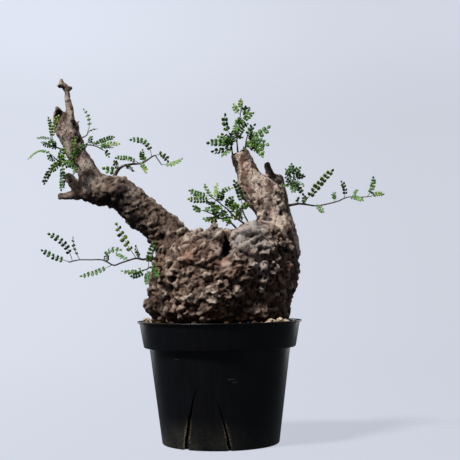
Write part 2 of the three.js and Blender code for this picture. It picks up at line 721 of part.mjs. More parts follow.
function pot() {
  const geometry = turned([
    [0, 0],
    [footRadius - edgeRound, 0],
    [footRadius, edgeRound],
    [bodyTopRadius, collarFootHeight - edgeRound],
    [collarFootRadius, collarFootHeight],
    [collarTopRadius, potHeight - lipHeight],
    [lipRadius, potHeight - lipHeight + lipSlope],
    [lipRadius, potHeight],
    [collarTopRadius - wall, potHeight],
    [collarFootRadius - wall, collarFootHeight + wall],
    [bodyTopRadius - wall, collarFootHeight],
    [footRadius - wall + bodySlope * floorThickness, floorThickness],
    [0, floorThickness],
  ], potSegments);
  let solid = solidOf(geometry);
  for (let i = 0; i < drainHoleCount; i++) {
    const hole = new THREE.CylinderGeometry(drainHoleRadius, drainHoleRadius, 3 * floorThickness, 8);
    hole.rotateX(Math.PI / 2);
    const angle = (i * 2 * Math.PI) / drainHoleCount;
    hole.translate(drainHoleRing * Math.cos(angle), drainHoleRing * Math.sin(angle), floorThickness / 2);
    solid = solid.subtract(solidOf(hole));
  }
  for (const { footX, topX, topZ, width, innerY } of potSplits) {
    const outline = new THREE.Shape([
      new THREE.Vector2(footX - width / 2, -1),
      new THREE.Vector2(footX + width / 2, -1),
      new THREE.Vector2(topX, topZ),
    ]);
    const wedge = new THREE.ExtrudeGeometry(outline, { depth: innerY + lipRadius, bevelEnabled: false });
    wedge.rotateX(Math.PI / 2);
    wedge.translate(0, innerY, 0);
    solid = solid.subtract(solidOf(wedge));
  }
  return solid;
}

// The soil: a body that follows the pot's inside, with an uneven top and stones heaped on it
function soil() {
  const random = seededRandom(23);
  const inside = wall + gap;
  const low = floorThickness + gap;
  const step = collarFootHeight + 2 * wall;
  const lathe = turned([
    [0, low],
    [footRadius - inside + bodySlope * low, low],
    [bodyTopRadius - inside - bodySlope, collarFootHeight],
    [collarFootRadius - inside - gap, step],
    [collarFootRadius - inside + collarSlope * (soilTop - step), soilTop - 1],
    [rimHeapRadius, soilTop],
    [0, soilTop],
  ], soilSegments);
  lathe.deleteAttribute('normal');
  lathe.deleteAttribute('uv');
  const geometry = mergeVertices(lathe, 1e-4);
  const position = geometry.attributes.position;
  for (let i = 0; i < position.count; i++) {
    if (position.getZ(i) > soilTop - 2) {
      const byTheRim = Math.hypot(position.getX(i), position.getY(i)) > rimHeapRadius - 1;
      position.setZ(i, position.getZ(i) + (byTheRim ? rimHeapHeight : -soilDip) * random());
    }
  }
  const bed = solidOf(geometry).subtract(rootPlug(gap));
  const lumps = stones.map(([x, y, radius]) => {
    const stone = new THREE.IcosahedronGeometry(radius, 0);
    stone.rotateX(random() * 3);
    stone.rotateY(random() * 3);
    stone.translate(x, y, soilTop + radius * (1 - stoneSunk));
    return solidOf(stone);
  });
  return joined([bed, ...lumps]);
}

const bonsai = new THREE.Group();
bonsai.add(meshOf('pot', pot(), potMaterial));
bonsai.add(meshOf('soil', soil(), soilMaterial));
bonsai.add(meshOf('trunk', trunk(), barkMaterial));
for (const plan of shoots) {
  bonsai.add(meshOf(plan.name, shoot(plan), leafMaterial));
}

export default bonsai;
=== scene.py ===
import math
import random

import bmesh
import bpy
import numpy as np
from mathutils import Matrix, Vector, noise
from mathutils.bvhtree import BVHTree


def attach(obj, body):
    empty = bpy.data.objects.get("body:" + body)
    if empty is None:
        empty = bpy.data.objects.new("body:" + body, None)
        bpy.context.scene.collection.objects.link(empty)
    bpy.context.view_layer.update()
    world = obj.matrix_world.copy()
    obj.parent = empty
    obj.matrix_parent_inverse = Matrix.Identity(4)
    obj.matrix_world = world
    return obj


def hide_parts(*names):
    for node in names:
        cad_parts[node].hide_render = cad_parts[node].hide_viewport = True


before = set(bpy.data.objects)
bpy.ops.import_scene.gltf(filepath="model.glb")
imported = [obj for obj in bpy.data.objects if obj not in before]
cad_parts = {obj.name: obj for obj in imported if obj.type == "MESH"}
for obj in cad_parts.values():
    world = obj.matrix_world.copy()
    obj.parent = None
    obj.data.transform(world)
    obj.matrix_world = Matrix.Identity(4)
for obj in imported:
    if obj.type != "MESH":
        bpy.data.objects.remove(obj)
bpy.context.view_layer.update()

# Lengths in the dictionaries are millimetres in the plant's own frame: the middle of the pot's foot is 0, 0, 0
mm = 0.001
scene = bpy.context.scene


# Helpers shared by the pieces

def keepObject(name, mesh):
    obj = bpy.data.objects.new(name, mesh)
    scene.collection.objects.link(obj)
    return obj


def meshOf(bm, name):
    mesh = bpy.data.meshes.new(name)
    bm.to_mesh(mesh)
    bm.free()
    return mesh


def applyModifiers(obj):
    bpy.context.view_layer.update()
    solved = obj.evaluated_get(bpy.context.evaluated_depsgraph_get())
    mesh = bpy.data.meshes.new_from_object(solved)
    obj.modifiers.clear()
    obj.data = mesh
    return obj


def voxelSkin(obj, size):
    skin = obj.modifiers.new("skin", "REMESH")
    skin.mode = "VOXEL"
    skin.voxel_size = size * mm
    return applyModifiers(obj)


def pointsOf(mesh):
    flat = np.empty(len(mesh.vertices) * 3, np.float32)
    mesh.vertices.foreach_get("co", flat)
    return flat.reshape(-1, 3).astype(float) / mm


def movePoints(mesh, points):
    mesh.vertices.foreach_set("co", (points * mm).astype(np.float32).ravel())
    mesh.update()


def normalsOf(mesh):
    flat = np.empty(len(mesh.vertices) * 3, np.float32)
    mesh.vertices.foreach_get("normal", flat)
    return flat.reshape(-1, 3).astype(float)


def edgesOf(mesh):
    flat = np.empty(len(mesh.edges) * 2, np.int32)
    mesh.edges.foreach_get("vertices", flat)
    return flat.reshape(-1, 2)


def relaxed(values, edges, rounds, share=0.5):
    # Each round moves every point's value towards the mean of its neighbours
    ends = np.concatenate([edges[:, 0], edges[:, 1]])
    others = np.concatenate([edges[:, 1], edges[:, 0]])
    count = np.maximum(np.bincount(ends, minlength=len(values)), 1)
    for _ in range(rounds):
        mean = np.stack([
            np.bincount(ends, values[others, k], len(values)) / count for k in range(values.shape[1])
        ], axis=1)
        values = values + (mean - values) * np.asarray(share).reshape(-1, 1)
    return values


def keepAttribute(mesh, name, values):
    attribute = mesh.attributes.new(name, "FLOAT", "POINT")
    attribute.data.foreach_set("value", np.asarray(values, np.float32))


def smoothShaded(mesh):
    mesh.polygons.foreach_set("use_smooth", [True] * len(mesh.polygons))


def step(low, high, value):
    share = np.clip((value - low) / (high - low), 0, 1)
    return share * share * (3 - 2 * share)


def rodMesh(name, rods, sides):
    # Round rods along lines of points with a radius at each, made from one curve
    curve = bpy.data.curves.new(name, "CURVE")
    curve.dimensions = "3D"
    curve.bevel_depth = mm
    curve.bevel_resolution = sides
    curve.use_fill_caps = True
    for line, radii in rods:
        spline = curve.splines.new("POLY")
        spline.points.add(len(line) - 1)
        for point, place, radius in zip(spline.points, line, radii):
            point.co = (*(place * mm), 1)
            point.radius = radius
    obj = keepObject(name, curve)
    bpy.context.view_layer.update()
    mesh = bpy.data.meshes.new_from_object(obj.evaluated_get(bpy.context.evaluated_depsgraph_get()))
    bpy.data.objects.remove(obj)
    return mesh


def finishPiece(obj, slot, *nodes):
    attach(obj, "root")
    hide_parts(*nodes)
    print("made", obj.name, len(obj.data.polygons), "faces")


# Helpers for the materials: colours are given as they look on a screen, 0 to 255

def screen(red, green, blue):
    def linear(value):
        value = value / 255
        return value / 12.92 if value <= 0.04045 else ((value + 0.055) / 1.055) ** 2.4
    return (linear(red), linear(green), linear(blue), 1)


def newMaterial(name):
    material = bpy.data.materials.new(name)
    material.use_nodes = True
    tree = material.node_tree
    return material, tree, tree.nodes["Principled BSDF"]


def addNode(tree, kind, settings=None, **sockets):
    made = tree.nodes.new(kind)
    for key, value in (settings or {}).items():
        setattr(made, key, value)
    for key, value in sockets.items():
        target = made.inputs[int(key[1:])] if key[0] == "i" and key[1:].isdigit() else made.inputs[key]
        if isinstance(value, bpy.types.NodeSocket):
            tree.links.new(value, target)
        else:
            target.default_value = value
    return made


def mix(tree, share, low, high, blend="MIX"):
    settings = {"data_type": "RGBA", "blend_type": blend}
    return addNode(tree, "ShaderNodeMix", settings, i0=share, i6=low, i7=high).outputs[2]


def compute(tree, operation, first, second=0.0, clamp=False):
    settings = {"operation": operation, "use_clamp": clamp}
    return addNode(tree, "ShaderNodeMath", settings, i0=first, i1=second).outputs[0]


def spread(tree, value, low, high, start=0.0, end=1.0):
    # Smoothly maps a value between low and high to start and end
    settings = {"interpolation_type": "SMOOTHSTEP"}
    return addNode(tree, "ShaderNodeMapRange", settings, i0=value, i1=low, i2=high, i3=start, i4=end).outputs[0]


def grain(tree, vector, scale, detail=4.0, roughness=0.55, distortion=0.0):
    return addNode(
        tree, "ShaderNodeTexNoise",
        Vector=vector, Scale=scale, Detail=detail, Roughness=roughness, Distortion=distortion,
    ).outputs["Fac"]


def attribute(tree, name):
    return addNode(tree, "ShaderNodeAttribute", {"attribute_name": name}).outputs["Fac"]


def objectPlace(tree, stretch=(1, 1, 1)):
    place = addNode(tree, "ShaderNodeTexCoord").outputs["Object"]
    return addNode(tree, "ShaderNodeMapping", Vector=place, Scale=stretch).outputs[0]


def bumped(tree, height, strength, distance, normal=None):
    made = addNode(tree, "ShaderNodeBump", Height=height, Strength=strength, Distance=distance)
    if normal:
        tree.links.new(normal, made.inputs["Normal"])
    return made.outputs[0]


# The camera and the studio

view = {
    "place": (0, -1006, 148),
    "aim": (10.5, 0, 193.6),
    "lens": 85.8,
    "sensor": 36,
    "roll": -0.7,  # degrees, clockwise
    "photoSide": 460,  # pixels
}


def cameraMatrix():
    place = Vector(view["place"]) * mm
    aim = Vector(view["aim"]) * mm - place
    turn = aim.to_track_quat("-Z", "Y").to_matrix().to_4x4()
    return Matrix.Translation(place) @ turn @ Matrix.Rotation(math.radians(view["roll"]), 4, "Z")


def makeCamera():
    lens = bpy.data.cameras.new("camera")
    lens.lens = view["lens"]
    lens.sensor_width = view["sensor"]
    camera = keepObject("camera", lens)
    camera.matrix_world = cameraMatrix()
    scene.camera = camera


def throughPixel(px, py):
    # The camera's place, and the direction in which it sees that pixel of the photograph
    matrix = cameraMatrix()
    half = view["photoSide"] / 2
    reach = view["lens"] / view["sensor"] * view["photoSide"]
    ray = matrix.to_3x3() @ Vector((px - half, half - py, -reach))
    return matrix.translation, ray.normalized()


studio = {
    "floorRadius": 1700, "wallRadius": 3000, "wallHeight": 3200,
    # The backdrop glows softly, less on the right, and takes only a faint shadow
    "albedo": (89, 90, 94), "glowColour": (219, 225, 238), "lowGlow": 0.82, "highGlow": 0.93, "rightShare": 0.8,
    "worldColour": (214, 222, 240),
    "ambient": 0.1,
    "keyPower": 4.1, "keyAngle": 11, "keyFrom": (-0.66, -0.6, 1.12),
    "fillPower": 0.07, "fillAngle": 60, "fillFrom": (0.9, -0.6, 0.3),
    # Softboxes behind on both sides draw the light lines along the pot's edges
    "boxSize": (700, 2400), "boxPower": 15, "boxes": [(-1500, 2300, 900), (1500, 2300, 900)],
}


def makeFloor():
    bm = bmesh.new()
    middle, edge, wall, top = [
        bm.verts.new((radius * mm, 0, z * mm))
        for radius, z in ((0, 0), (studio["floorRadius"], 0), (studio["wallRadius"], 900),
                          (studio["wallRadius"], studio["wallHeight"]))
    ]
    profile = [bm.edges.new(pair) for pair in ((middle, edge), (edge, wall), (wall, top))]
    bmesh.ops.spin(bm, geom=[middle, edge, wall, top] + profile, cent=(0, 0, 0), axis=(0, 0, 1),
                   angle=2 * math.pi, steps=64, use_merge=True)
    bmesh.ops.remove_doubles(bm, verts=bm.verts, dist=mm)
    bmesh.ops.recalc_face_normals(bm, faces=bm.faces)
    corner = [e for e in bm.edges if all(abs(v.co.xy.length - studio["floorRadius"] * mm) < mm for v in e.verts)]
    bmesh.ops.bevel(bm, geom=corner, offset=700 * mm, segments=12, affect="EDGES", profile=0.5, material=-1)
    floor = keepObject("floor", meshOf(bm, "floor"))
    smoothShaded(floor.data)
    floor.visible_shadow = False
    floor.visible_diffuse = False
    floor.visible_glossy = False
    material, tree, surface = newMaterial("pale_floor")
    surface.inputs["Roughness"].default_value = 0.9
    surface.inputs["Specular IOR Level"].default_value = 0.0
    surface.inputs["Base Color"].default_value = screen(*studio["albedo"])
    surface.inputs["Emission Color"].default_value = screen(*studio["glowColour"])
    sideways, _, height = addNode(tree, "ShaderNodeSeparateXYZ", Vector=objectPlace(tree)).outputs
    upwards = spread(tree, height, 0.6, 1.1, studio["lowGlow"], studio["highGlow"])
    glow = compute(tree, "MULTIPLY", upwards, spread(tree, sideways, -0.8, 0.8, 1.0, studio["rightShare"]))
    tree.links.new(glow, surface.inputs["Emission Strength"])
    floor.data.materials.append(material)


def makeSoftbox(place):
    light = bpy.data.lights.new("softbox", "AREA")
    light.shape = "RECTANGLE"
    light.size, light.size_y = [side * mm for side in studio["boxSize"]]
    light.energy = studio["boxPower"]
    lamp = keepObject("softbox", light)
    lamp.matrix_world = Matrix.Translation(Vector(place) * mm) @ (
        Vector(place) - Vector((0, 0, 150))).to_track_quat("Z", "Y").to_matrix().to_4x4()
    lamp.visible_camera = False


def makeSun(name, power, angle, direction):
    light = bpy.data.lights.new(name, "SUN")
    light.energy = power
    light.angle = math.radians(angle)
    lamp = keepObject(name, light)
    lamp.rotation_euler = Vector(direction).to_track_quat("Z", "Y").to_euler()
    return lamp


def makeLights():
    world = bpy.data.worlds.new("studio")
    scene.world = world
    world.use_nodes = True
    sky = world.node_tree.nodes["Background"]
    sky.inputs["Color"].default_value = screen(*studio["worldColour"])
    sky.inputs["Strength"].default_value = studio["ambient"]
    makeSun("key", studio["keyPower"], studio["keyAngle"], studio["keyFrom"])
    makeSun("fill", studio["fillPower"], studio["fillAngle"], studio["fillFrom"])
    for place in studio["boxes"]:
        makeSoftbox(place)


makeCamera()
makeFloor()
makeLights()
scene.view_settings.view_transform = "Standard"
print("camera and studio ready")


# The trunk. Limbs: points along the middle of each with its radius, to tell where on the plant a point is.

limbs = {
    "leftArm": [(-44, -4, 185, 17), (-58, -5, 201, 16), (-74, -6, 213.5, 16), (-89, -7, 228, 14),
                (-106, -8, 231.5, 13), (-122, -9, 230.5, 9)],
    "leader": [(-112, -8, 236, 10), (-121.5, -8, 252, 11), (-133, -8, 275, 9.6), (-138.5, -8, 298, 6)],
    "rightArm": [(54, 4, 188, 19), (52.5, 4, 202, 17), (43, 3, 222, 19), (30, 2, 240, 12), (19.8, 2, 266, 9.5)],
    "rightFork": [(50, 5, 212, 12), (54, 5, 235, 8), (58, 5, 245, 4)],
}

# Dead wood and pruned stubs: points along each, radius at its start and end
deadWood = [
    ([(-141, -8, 282), (-144.6, -9, 296), (-145.4, -9, 308)], 6.4, 5.2),
    ([(-135.3, -7, 297), (-137.2, -7, 314), (-139, -7, 325), (-143.5, -8, 334)], 3.4, 2),
    ([(-139, -7, 326.5), (-144, -8, 327.5), (-149, -9, 329.5)], 1.9, 1),
    ([(-138.5, -7, 320), (-133.5, -6, 327.5)], 2, 1.3),
    ([(-124, -9, 234), (-130, -10, 238), (-137, -11, 246.5)], 4.4, 2.9),
    ([(-125, -8, 228), (-134, -8, 225.5), (-146.5, -8, 226.3)], 5, 2.9),
    ([(50, 4, 236), (48.5, 4, 243), (45, 4, 256)], 5.4, 3.4),
]

# Dead twigs, stubs and bumps seen in the photograph: points by pixel, depth y and radius in mm
woodDetails = [
    [(71.5, 124, -8, 5.0), (70, 113, -8, 3.9), (69, 106, -8, 3.1), (67.9, 101, -7.5, 2.9), (67.3, 94, -7, 2.7),
     (66.4, 88.4, -7, 2.8), (64.2, 84.6, -8, 2.5), (61, 81.2, -9, 1.5)],
    [(75.5, 122, -8, 3.2), (75, 133, -8, 4.4), (79, 145, -8, 5.6)],
    [(72, 109, -7, 1.8), (73.6, 110.4, -6.5, 1.3)],
    [(65, 87, -7, 2.2), (60, 86.4, -9, 1.9), (55.6, 85.4, -10, 1.0)],
    [(66.9, 89, -7, 2.2), (70.4, 87.9, -6, 1.9), (73, 86.2, -5, 0.9)],
    [(69, 108, -6, 2.4), (73.3, 109.6, -5, 1.5)],
    [(75, 122.5, -8, 2.2), (78, 121.9, -8, 0.9), (80.9, 120.6, -8, 0.6)],
    [(60, 128, -12, 3.4), (56.5, 117, -12, 2.3), (56.4, 109, -11, 1.4), (57, 106.4, -10, 0.8)],
    [(63.5, 124, -13, 2.6), (62.6, 117, -13.5, 1.7), (62.9, 111.8, -12, 0.9)],
    [(66.5, 124, -4, 3.0), (65.4, 118, -4, 2.2), (64.9, 113.5, -4.5, 1.0)],
    [(61, 126, -3, 3.2), (59.5, 116, -4, 2.1), (60.6, 108.2, -5, 1.0)],
    [(78, 191, -9, 4.7), (71, 184, -10, 3.4), (67.5, 177.5, -11, 2.4), (66.2, 174.6, -12, 1.6)],
    [(80, 194, -8, 5.2), (72, 194.6, -8, 3.9), (62, 197, -8, 2.6), (59.2, 197.3, -8, 2.4)],
    [(77.1, 198.4, -8, 3.2), (77.1, 200.4, -8, 1.9)],
    [(84, 196.6, -8, 3.4), (92, 199.4, -8, 3.8), (100, 201.2, -8, 4.2), (108, 202.4, -8, 4.2), (115, 205.5, -8, 3.8)],
    [(99.8, 204.5, -8, 1.9), (100, 207.4, -8, 1.0)],
    [(220, 234.6, -6, 4.0), (226, 234.8, -4, 3.8), (232, 235, -6, 4.0)],
]

# Notches seen against the light: corners by pixel, and how far forward and back each goes, as y in mm
notches = {
    "broad": [
        # Beside the right arm's foot and over the saddle of the brow
        ([(221, 206), (246.5, 203), (251, 207.5), (254.8, 212), (257, 216.5), (257.8, 220), (254, 223), (249, 223.4),
          (244, 226), (239, 229), (235, 231), (229, 231.6), (223, 231)], -60, 70),
    ],
    "fine": [
        # Between the elbow's upper stub and the leader
        ([(70.0, 169.5), (76.4, 169.5), (80.8, 185.2)], -40, 20),
        # The dark wedge-shaped hollow in the brow
        ([(222.6, 236), (226.2, 236), (232.8, 256.4), (220.6, 257)], -60, -8),
        # Round the broken stub's point
        ([(50, 103), (56.4, 103), (55.6, 108), (52.4, 115.5), (51, 121), (48, 121)], -40, 20),
        ([(57.6, 103), (67.2, 103), (67, 110.4), (65, 113), (61.4, 110), (58.4, 107.4)], -40, 20),
    ],
}

# The bark's knobs are cells of a random pattern. For each part of the trunk: how high the large and the small
# knobs stand, how the pattern is squeezed along the limb (above 1, knobs lie across it; below 1, along it), and
# how much darker the bark is there
barkZones = {
    "caudex": {"large": 5.2, "small": 2.9, "squeeze": 1.25, "shade": 0.0},
    "leftArm": {"large": 2.9, "small": 2.1, "squeeze": 1.15, "shade": 0.22},
    "leader": {"large": 1.4, "small": 1.1, "squeeze": 0.45, "shade": 0.38},
    "rightArm": {"large": 1.6, "small": 1.5, "squeeze": 0.9, "shade": 0.04},
    "rightFork": {"large": 1.4, "small": 1.2, "squeeze": 0.8, "shade": 0.15},
}

bark = {
    "baseVoxel": 1.6, "baseRounds": 14,
    "formVoxel": 1.0, "skinVoxel": 0.82, "mostTriangles": 192000,
    "largeCell": 9.2, "smallCell": 3.6, "wrinkle": 3.4, "warp": 4.2, "smallWarp": 1.2,
    "lumpHeight": 1.0, "lumpSize": 5.5, "grainHeight": 0.5, "grainSize": 1.8,
    "pitShare": 0.14,
    # Knobs stop below the first height; painted shade darkens the bark from the second height down to the first
    "buriedTo": 104, "baseShadeTo": 140,
}

# What the photograph shows on the caudex's front, by pixel. Swells and recesses: pixel, radius, lift
frontForms = [
    (258, 300, 20, -7), (243, 307, 11, -4), (277, 284, 9, -4.5), (283, 249, 9, -6), (160, 283, 6, -3),
    (255, 214, 5, -4), (153, 305, 8, 3.5), (232, 315, 9, -4), (241.5, 188, 8, 3),
    (181, 303, 3.6, -4.5), (163, 236, 5, -4), (226, 250, 4.5, -3), (206, 283, 4, -3), (188, 256, 8, 3.5),
    (232, 271, 6, 4), (212, 297, 8, 3.5), (243, 233, 12, 3), (252, 226, 8, 2.5), (171, 270, 7, 3),
    (288, 267, 5.5, 3.2), (284, 281, 5, 4), (152, 303, 6, 3.5), (187, 298, 6, 3), (176, 309, 6, 3),
]

# Single large knobs: pixel, half length, half width, tilt in degrees (positive rises to the right), how far out
frontKnobs = [
    (180.5, 231, 5.4, 3.0, 32, 0.3), (186.5, 239, 5.6, 3.0, 38, 0.2), (180, 224.5, 5.0, 2.6, -32, 0.1),
    (193, 233.5, 4.2, 3.2, 0, 0.2), (201.7, 228.5, 3.3, 3.3, 0, 0.3), (205.5, 235, 5.2, 4.2, 0, 0.1),
    (214, 226.5, 3.6, 3.6, 0, 0.3), (220, 234.5, 5.0, 2.7, 68, 0.35), (228.5, 232, 3.2, 2.6, 0, 0.3),
    (234, 235, 4.6, 2.8, 80, 0.2), (213.5, 248.5, 3.8, 1.9, 65, 0.3), (218, 255, 2.2, 2.0, 0, 0.3),
    (203.5, 260, 3.8, 2.8, 90, 0.1), (169.5, 264, 5.0, 3.2, 20, 0.2), (170.5, 272.5, 4.6, 4.6, 0, 0.1),
    (179, 264, 6.0, 2.2, 85, 0.2), (164.5, 249.5, 4.6, 3.3, -15, 0.2), (173.5, 282.5, 5.0, 2.6, 10, 0.2),
    (167.5, 293, 4.6, 3.6, 0, 0.1), (205, 275, 6.2, 3.4, 12, 0.0), (221.5, 285.5, 7.2, 3.8, 20, 0.2),
    (212, 291, 6.4, 3.6, 0, 0.1), (213.5, 301.5, 5.8, 2.6, -4, 0.3), (228.5, 293.5, 4.4, 4.0, 0, 0.1),
    (237, 290.5, 4.0, 3.4, 0, 0.1), (187, 297.5, 6.0, 2.5, -5, 0.3), (184, 311, 4.6, 3.8, 0, 0.1),
    (167, 310.5, 3.4, 3.2, 0, 0.2), (209, 309.5, 5.8, 3.8, 0, 0.0), (256, 313, 4.2, 2.2, 38, 0.5),
    (253.5, 266, 3.8, 2.4, 25, 0.4), (264.5, 268, 3.8, 3.2, 0, 0.3), (264.5, 277.5, 3.8, 3.8, 0, 0.4),
    (260, 289.5, 3.6, 2.8, 75, 0.5), (272, 263.5, 3.6, 2.4, 40, 0.3), (277, 259.5, 2.6, 2.0, 50, 0.4),
    (240, 261, 5.2, 2.4, 12, 0.2), (248, 250.5, 8.5, 2.4, 28, 0.1), (262, 245, 8.0, 2.2, 18, 0.1),
    (266, 254, 5.2, 2.2, 22, 0.2), (252, 240, 6.5, 1.9, 30, 0.0), (152.5, 306, 6.2, 6.0, 0, 0.2),
    (151.5, 281, 3.8, 3.6, 0, 0.3), (151.5, 293, 4.0, 3.8, 0, 0.2), (295, 291.5, 2.9, 2.7, 0, 0.5),
    (292.5, 300, 2.8, 2.6, 0, 0.5), (291.5, 309.5, 3.2, 2.8, 0, 0.5), (295.4, 268, 3.0, 4.6, 0, -0.1),
    (249, 230, 9.5, 5.5, 18, -0.3), (243.5, 246.5, 6.5, 4.2, 35, -0.1),
]

# Round pits in the crowns of old knobs, and other holes: pixel, radius, depth
frontPits = [
    (265, 278, 1.7, 3.2), (260.5, 290, 1.3, 2.2), (184, 311, 1.8, 2.4), (229, 294.5, 1.5, 2.0), (167, 311, 1.1, 2.0),
    (222, 286.5, 2.6, 2.6), (291, 270, 1.6, 2.0), (206, 273.5, 1.4, 1.6), (215.5, 275, 1.4, 1.8), (179, 304, 2.6, 3.4),
    (214, 240, 1.8, 2.4), (198, 247, 1.6, 2.0), (163, 236.5, 2.6, 3.0), (59.5, 113.5, 3.0, 6.0),
    (224.6, 252.5, 3.0, 8.0), (229.4, 252.5, 2.8, 8.0), (225.4, 247, 2.6, 8.0), (228.6, 247, 2.2, 8.0),
    (226, 241.5, 2.2, 8.0), (231.4, 254.6, 2.4, 6.0), (230.8, 250.4, 1.8, 5.0), (57.2, 117, 2.4, 6.0),
    (258, 170, 1.4, 1.6), (262, 187, 1.3, 1.6), (266, 197, 1.2, 1.4), (277, 193, 1.8, 2.4), (279, 203, 1.6, 2.2),
    (281, 213, 1.6, 2.4), (252, 168, 1.3, 1.4), (270, 178, 1.2, 1.4), (259, 205, 1.4, 1.6), (267, 215, 1.3, 1.5),
]

# Places where the knobs fade: pixel, radius, share that they fade by
smoothSpots = [
    (245, 235, 13, 0.88), (252, 226, 9, 0.85), (223.5, 261.5, 8, 0.95), (261, 240, 10, 0.7), (188, 256.5, 6, 0.5),
    (221, 233, 6, 0.8), (226, 232.5, 8, 0.95), (232, 233, 7, 0.9),
    (223, 247, 5, 0.8), (229, 247, 5, 0.8), (226, 254, 5, 0.8),
    (232, 271, 5, 0.8), (247, 250, 9, 0.5), (277, 225, 10, 0.5), (262, 300, 12, 0.25), (92, 186, 9, 0.6),
    (83, 162, 8, 0.6),
]

# Colour by place: pixel, radius, strength
redSpots = [
    (188, 257, 7, 1.0), (291, 269, 5, 1.0), (175, 309, 6, 0.7), (224, 261, 5, 0.7), (232, 271, 6, 0.8), (207, 258, 5, 0.5), (189, 250, 5, 0.6),
    (196, 245, 6, 0.4), (152, 300, 6, 0.5), (284, 282, 5, 0.4), (270, 232, 8, 0.4), (290, 275, 4, 0.8),
    (218, 262, 5, 0.4), (186, 306, 6, 0.4), (168, 300, 6, 0.4), (243, 162, 5, 1.0), (248, 170, 4, 0.8),
    (237, 168, 3, 0.7), (246, 189, 4, 0.5), (235, 158, 4, 0.4), (268, 207, 6, 0.3),
]
paleSpots = [
    (181, 231, 5, 0.9), (187, 239, 6, 0.7), (220, 234, 4, 1.0), (213, 300, 7, 1.0), (211, 291, 6, 0.7),
    (187, 297, 5, 1.0), (203.5, 260, 4, 0.6), (256, 313, 4, 0.7), (264, 277, 5, 0.8), (260, 289, 4, 0.8),
    (253, 266, 4, 0.6), (240, 236, 9, 0.4), (170, 268, 6, 0.3), (205, 275, 6, 0.4), (284, 281, 5, 0.6),
    (92, 181, 8, 0.9), (101, 179, 6, 0.7),
    (86, 188, 6, 0.9), (95, 183, 6, 0.8), (87, 163, 6, 1.0), (68.5, 142, 4, 0.7), (66, 98, 5, 0.5), (150, 200, 5, 0.6), (157, 205, 5, 0.6),
    (250, 180, 9, 0.6), (258, 192, 7, 0.6), (265, 195, 9, 0.7), (268, 205, 7, 0.6), (272, 215, 7, 0.5), (71, 130, 3, 0.7), (140, 190, 4, 0.5),
]
# Dark marks: partly real stains and pits, partly painted shadow on the right side, the lower right and under the elbow
darkStainAndShadowSpots = [
    (75, 127, 4, 0.9), (76, 134, 4, 0.9), (78, 152, 6, 0.7), (76, 171, 5, 0.9), (84, 172, 4, 0.6), (70, 182, 5, 0.7),
    (105, 199, 10, 0.9), (118, 194, 7, 0.9), (122, 190, 7, 0.95), (120, 207, 10, 0.9), (135, 218, 10, 0.9),
    (140, 203, 6, 0.6), (130, 200, 7, 0.7), (258, 302, 16, 0.6), (282, 250, 8, 0.6), (73, 122, 4, 0.9), (78, 139, 5, 0.8),
    (256, 239, 2.4, 0.6), (262, 237, 3, 0.6), (265, 231, 4, 0.8), (273, 240, 5, 0.8), (279, 182, 5, 0.95),
    (274, 184, 3, 0.7), (279, 203, 4, 0.9), (281, 213, 4, 0.9), (57, 116, 4, 1.0),
    (290, 232, 7, 0.6), (267, 168, 5, 0.9), (280, 196, 5, 0.9), (283, 210, 5, 0.8), (288, 300, 8, 0.7),
    (285, 249, 10, 0.9), (293, 255, 8, 0.7), (250, 303, 12, 0.6), (272, 308, 12, 0.7), (238, 313, 9, 0.7),
    (212, 314, 8, 0.5), (278, 290, 8, 0.6), (285, 186, 5, 0.9), (288, 200, 5, 0.9), (291, 214, 5, 0.8),
    (266.5, 165, 4, 1.0), (267, 168, 5, 1.0), (269, 172, 5, 1.0), (272, 176, 5, 1.0), (281, 177, 5, 0.9),
    (259, 184, 2.6, 0.9), (246, 186, 4, 0.6),
    (243, 178, 3, 0.5), (252, 203, 5, 0.6), (255, 212, 5, 0.8), (257, 219, 5, 0.9), (263, 222, 4, 0.7),
    (248, 165, 2.5, 0.6), (251, 174, 2.5, 0.6), (256, 197, 3, 0.5), (264, 209, 3, 0.6), (271, 219, 4, 0.5),
    (226, 247, 6, 1.0), (224, 253, 4.5, 1.0), (229, 253, 4.5, 1.0),
    (60, 86.5, 2.6, 0.9), (73, 88, 2.6, 0.9), (200, 237, 9, 0.5), (190, 245, 8, 0.45), (211, 242, 8, 0.5),
    (59.5, 113.5, 3.6, 1.0), (276, 176, 3, 0.8), (163, 236, 3, 0.9), (240, 163, 4, 0.5),
]
greySpots = [
    (243, 233, 14, 1.0), (255, 224, 14, 1.0), (215, 230, 12, 0.3), (205, 232, 10, 0.25), (235, 240, 8, 0.8),
    (190, 226, 8, 0.6), (262, 243, 10, 0.7), (262, 266, 10, 0.6), (130, 190, 8, 0.3),
]

# Away from the photographed side the same colours come in patches at random: how common and how strong each is
backPatches = {"red": (0.12, 0.8), "pale": (0.3, 0.7), "dark": (0.02, 0.62), "grey": (0.3, 0.5)}


def alongLimb(points, line):
    # For each point, its distance from the limb's middle line as a share of the radius there, and the line's direction
    best = np.full(len(points), 1e9)
    direction = np.zeros((len(points), 3))
    for start, end in zip(line, line[1:]):
        a, b = np.array(start, float), np.array(end, float)
        run = b[:3] - a[:3]
        share = np.clip((points - a[:3]) @ run / (run @ run), 0, 1)
        radius = a[3] + (b[3] - a[3]) * share
        away = np.linalg.norm(points - a[:3] - share[:, None] * run, axis=1) / radius
        nearer = away < best
        best[nearer] = away[nearer]
        direction[nearer] = run / np.linalg.norm(run)
    return best, direction


def partsOfTrunk(points):
    # The name's index of the limb that each point is on, 0 for the caudex, and the limb's direction there
    names = ["caudex"] + list(limbs)
    part = np.zeros(len(points), int)
    direction = np.tile((0.0, 0.0, 1.0), (len(points), 1))
    best = np.full(len(points), 1.45)
    for index, name in enumerate(names[1:], 1):
        away, along = alongLimb(points, limbs[name])
        nearer = away < best
        part[nearer] = index
        best[nearer] = away[nearer]
        direction[nearer] = along[nearer]
    return names, part, direction


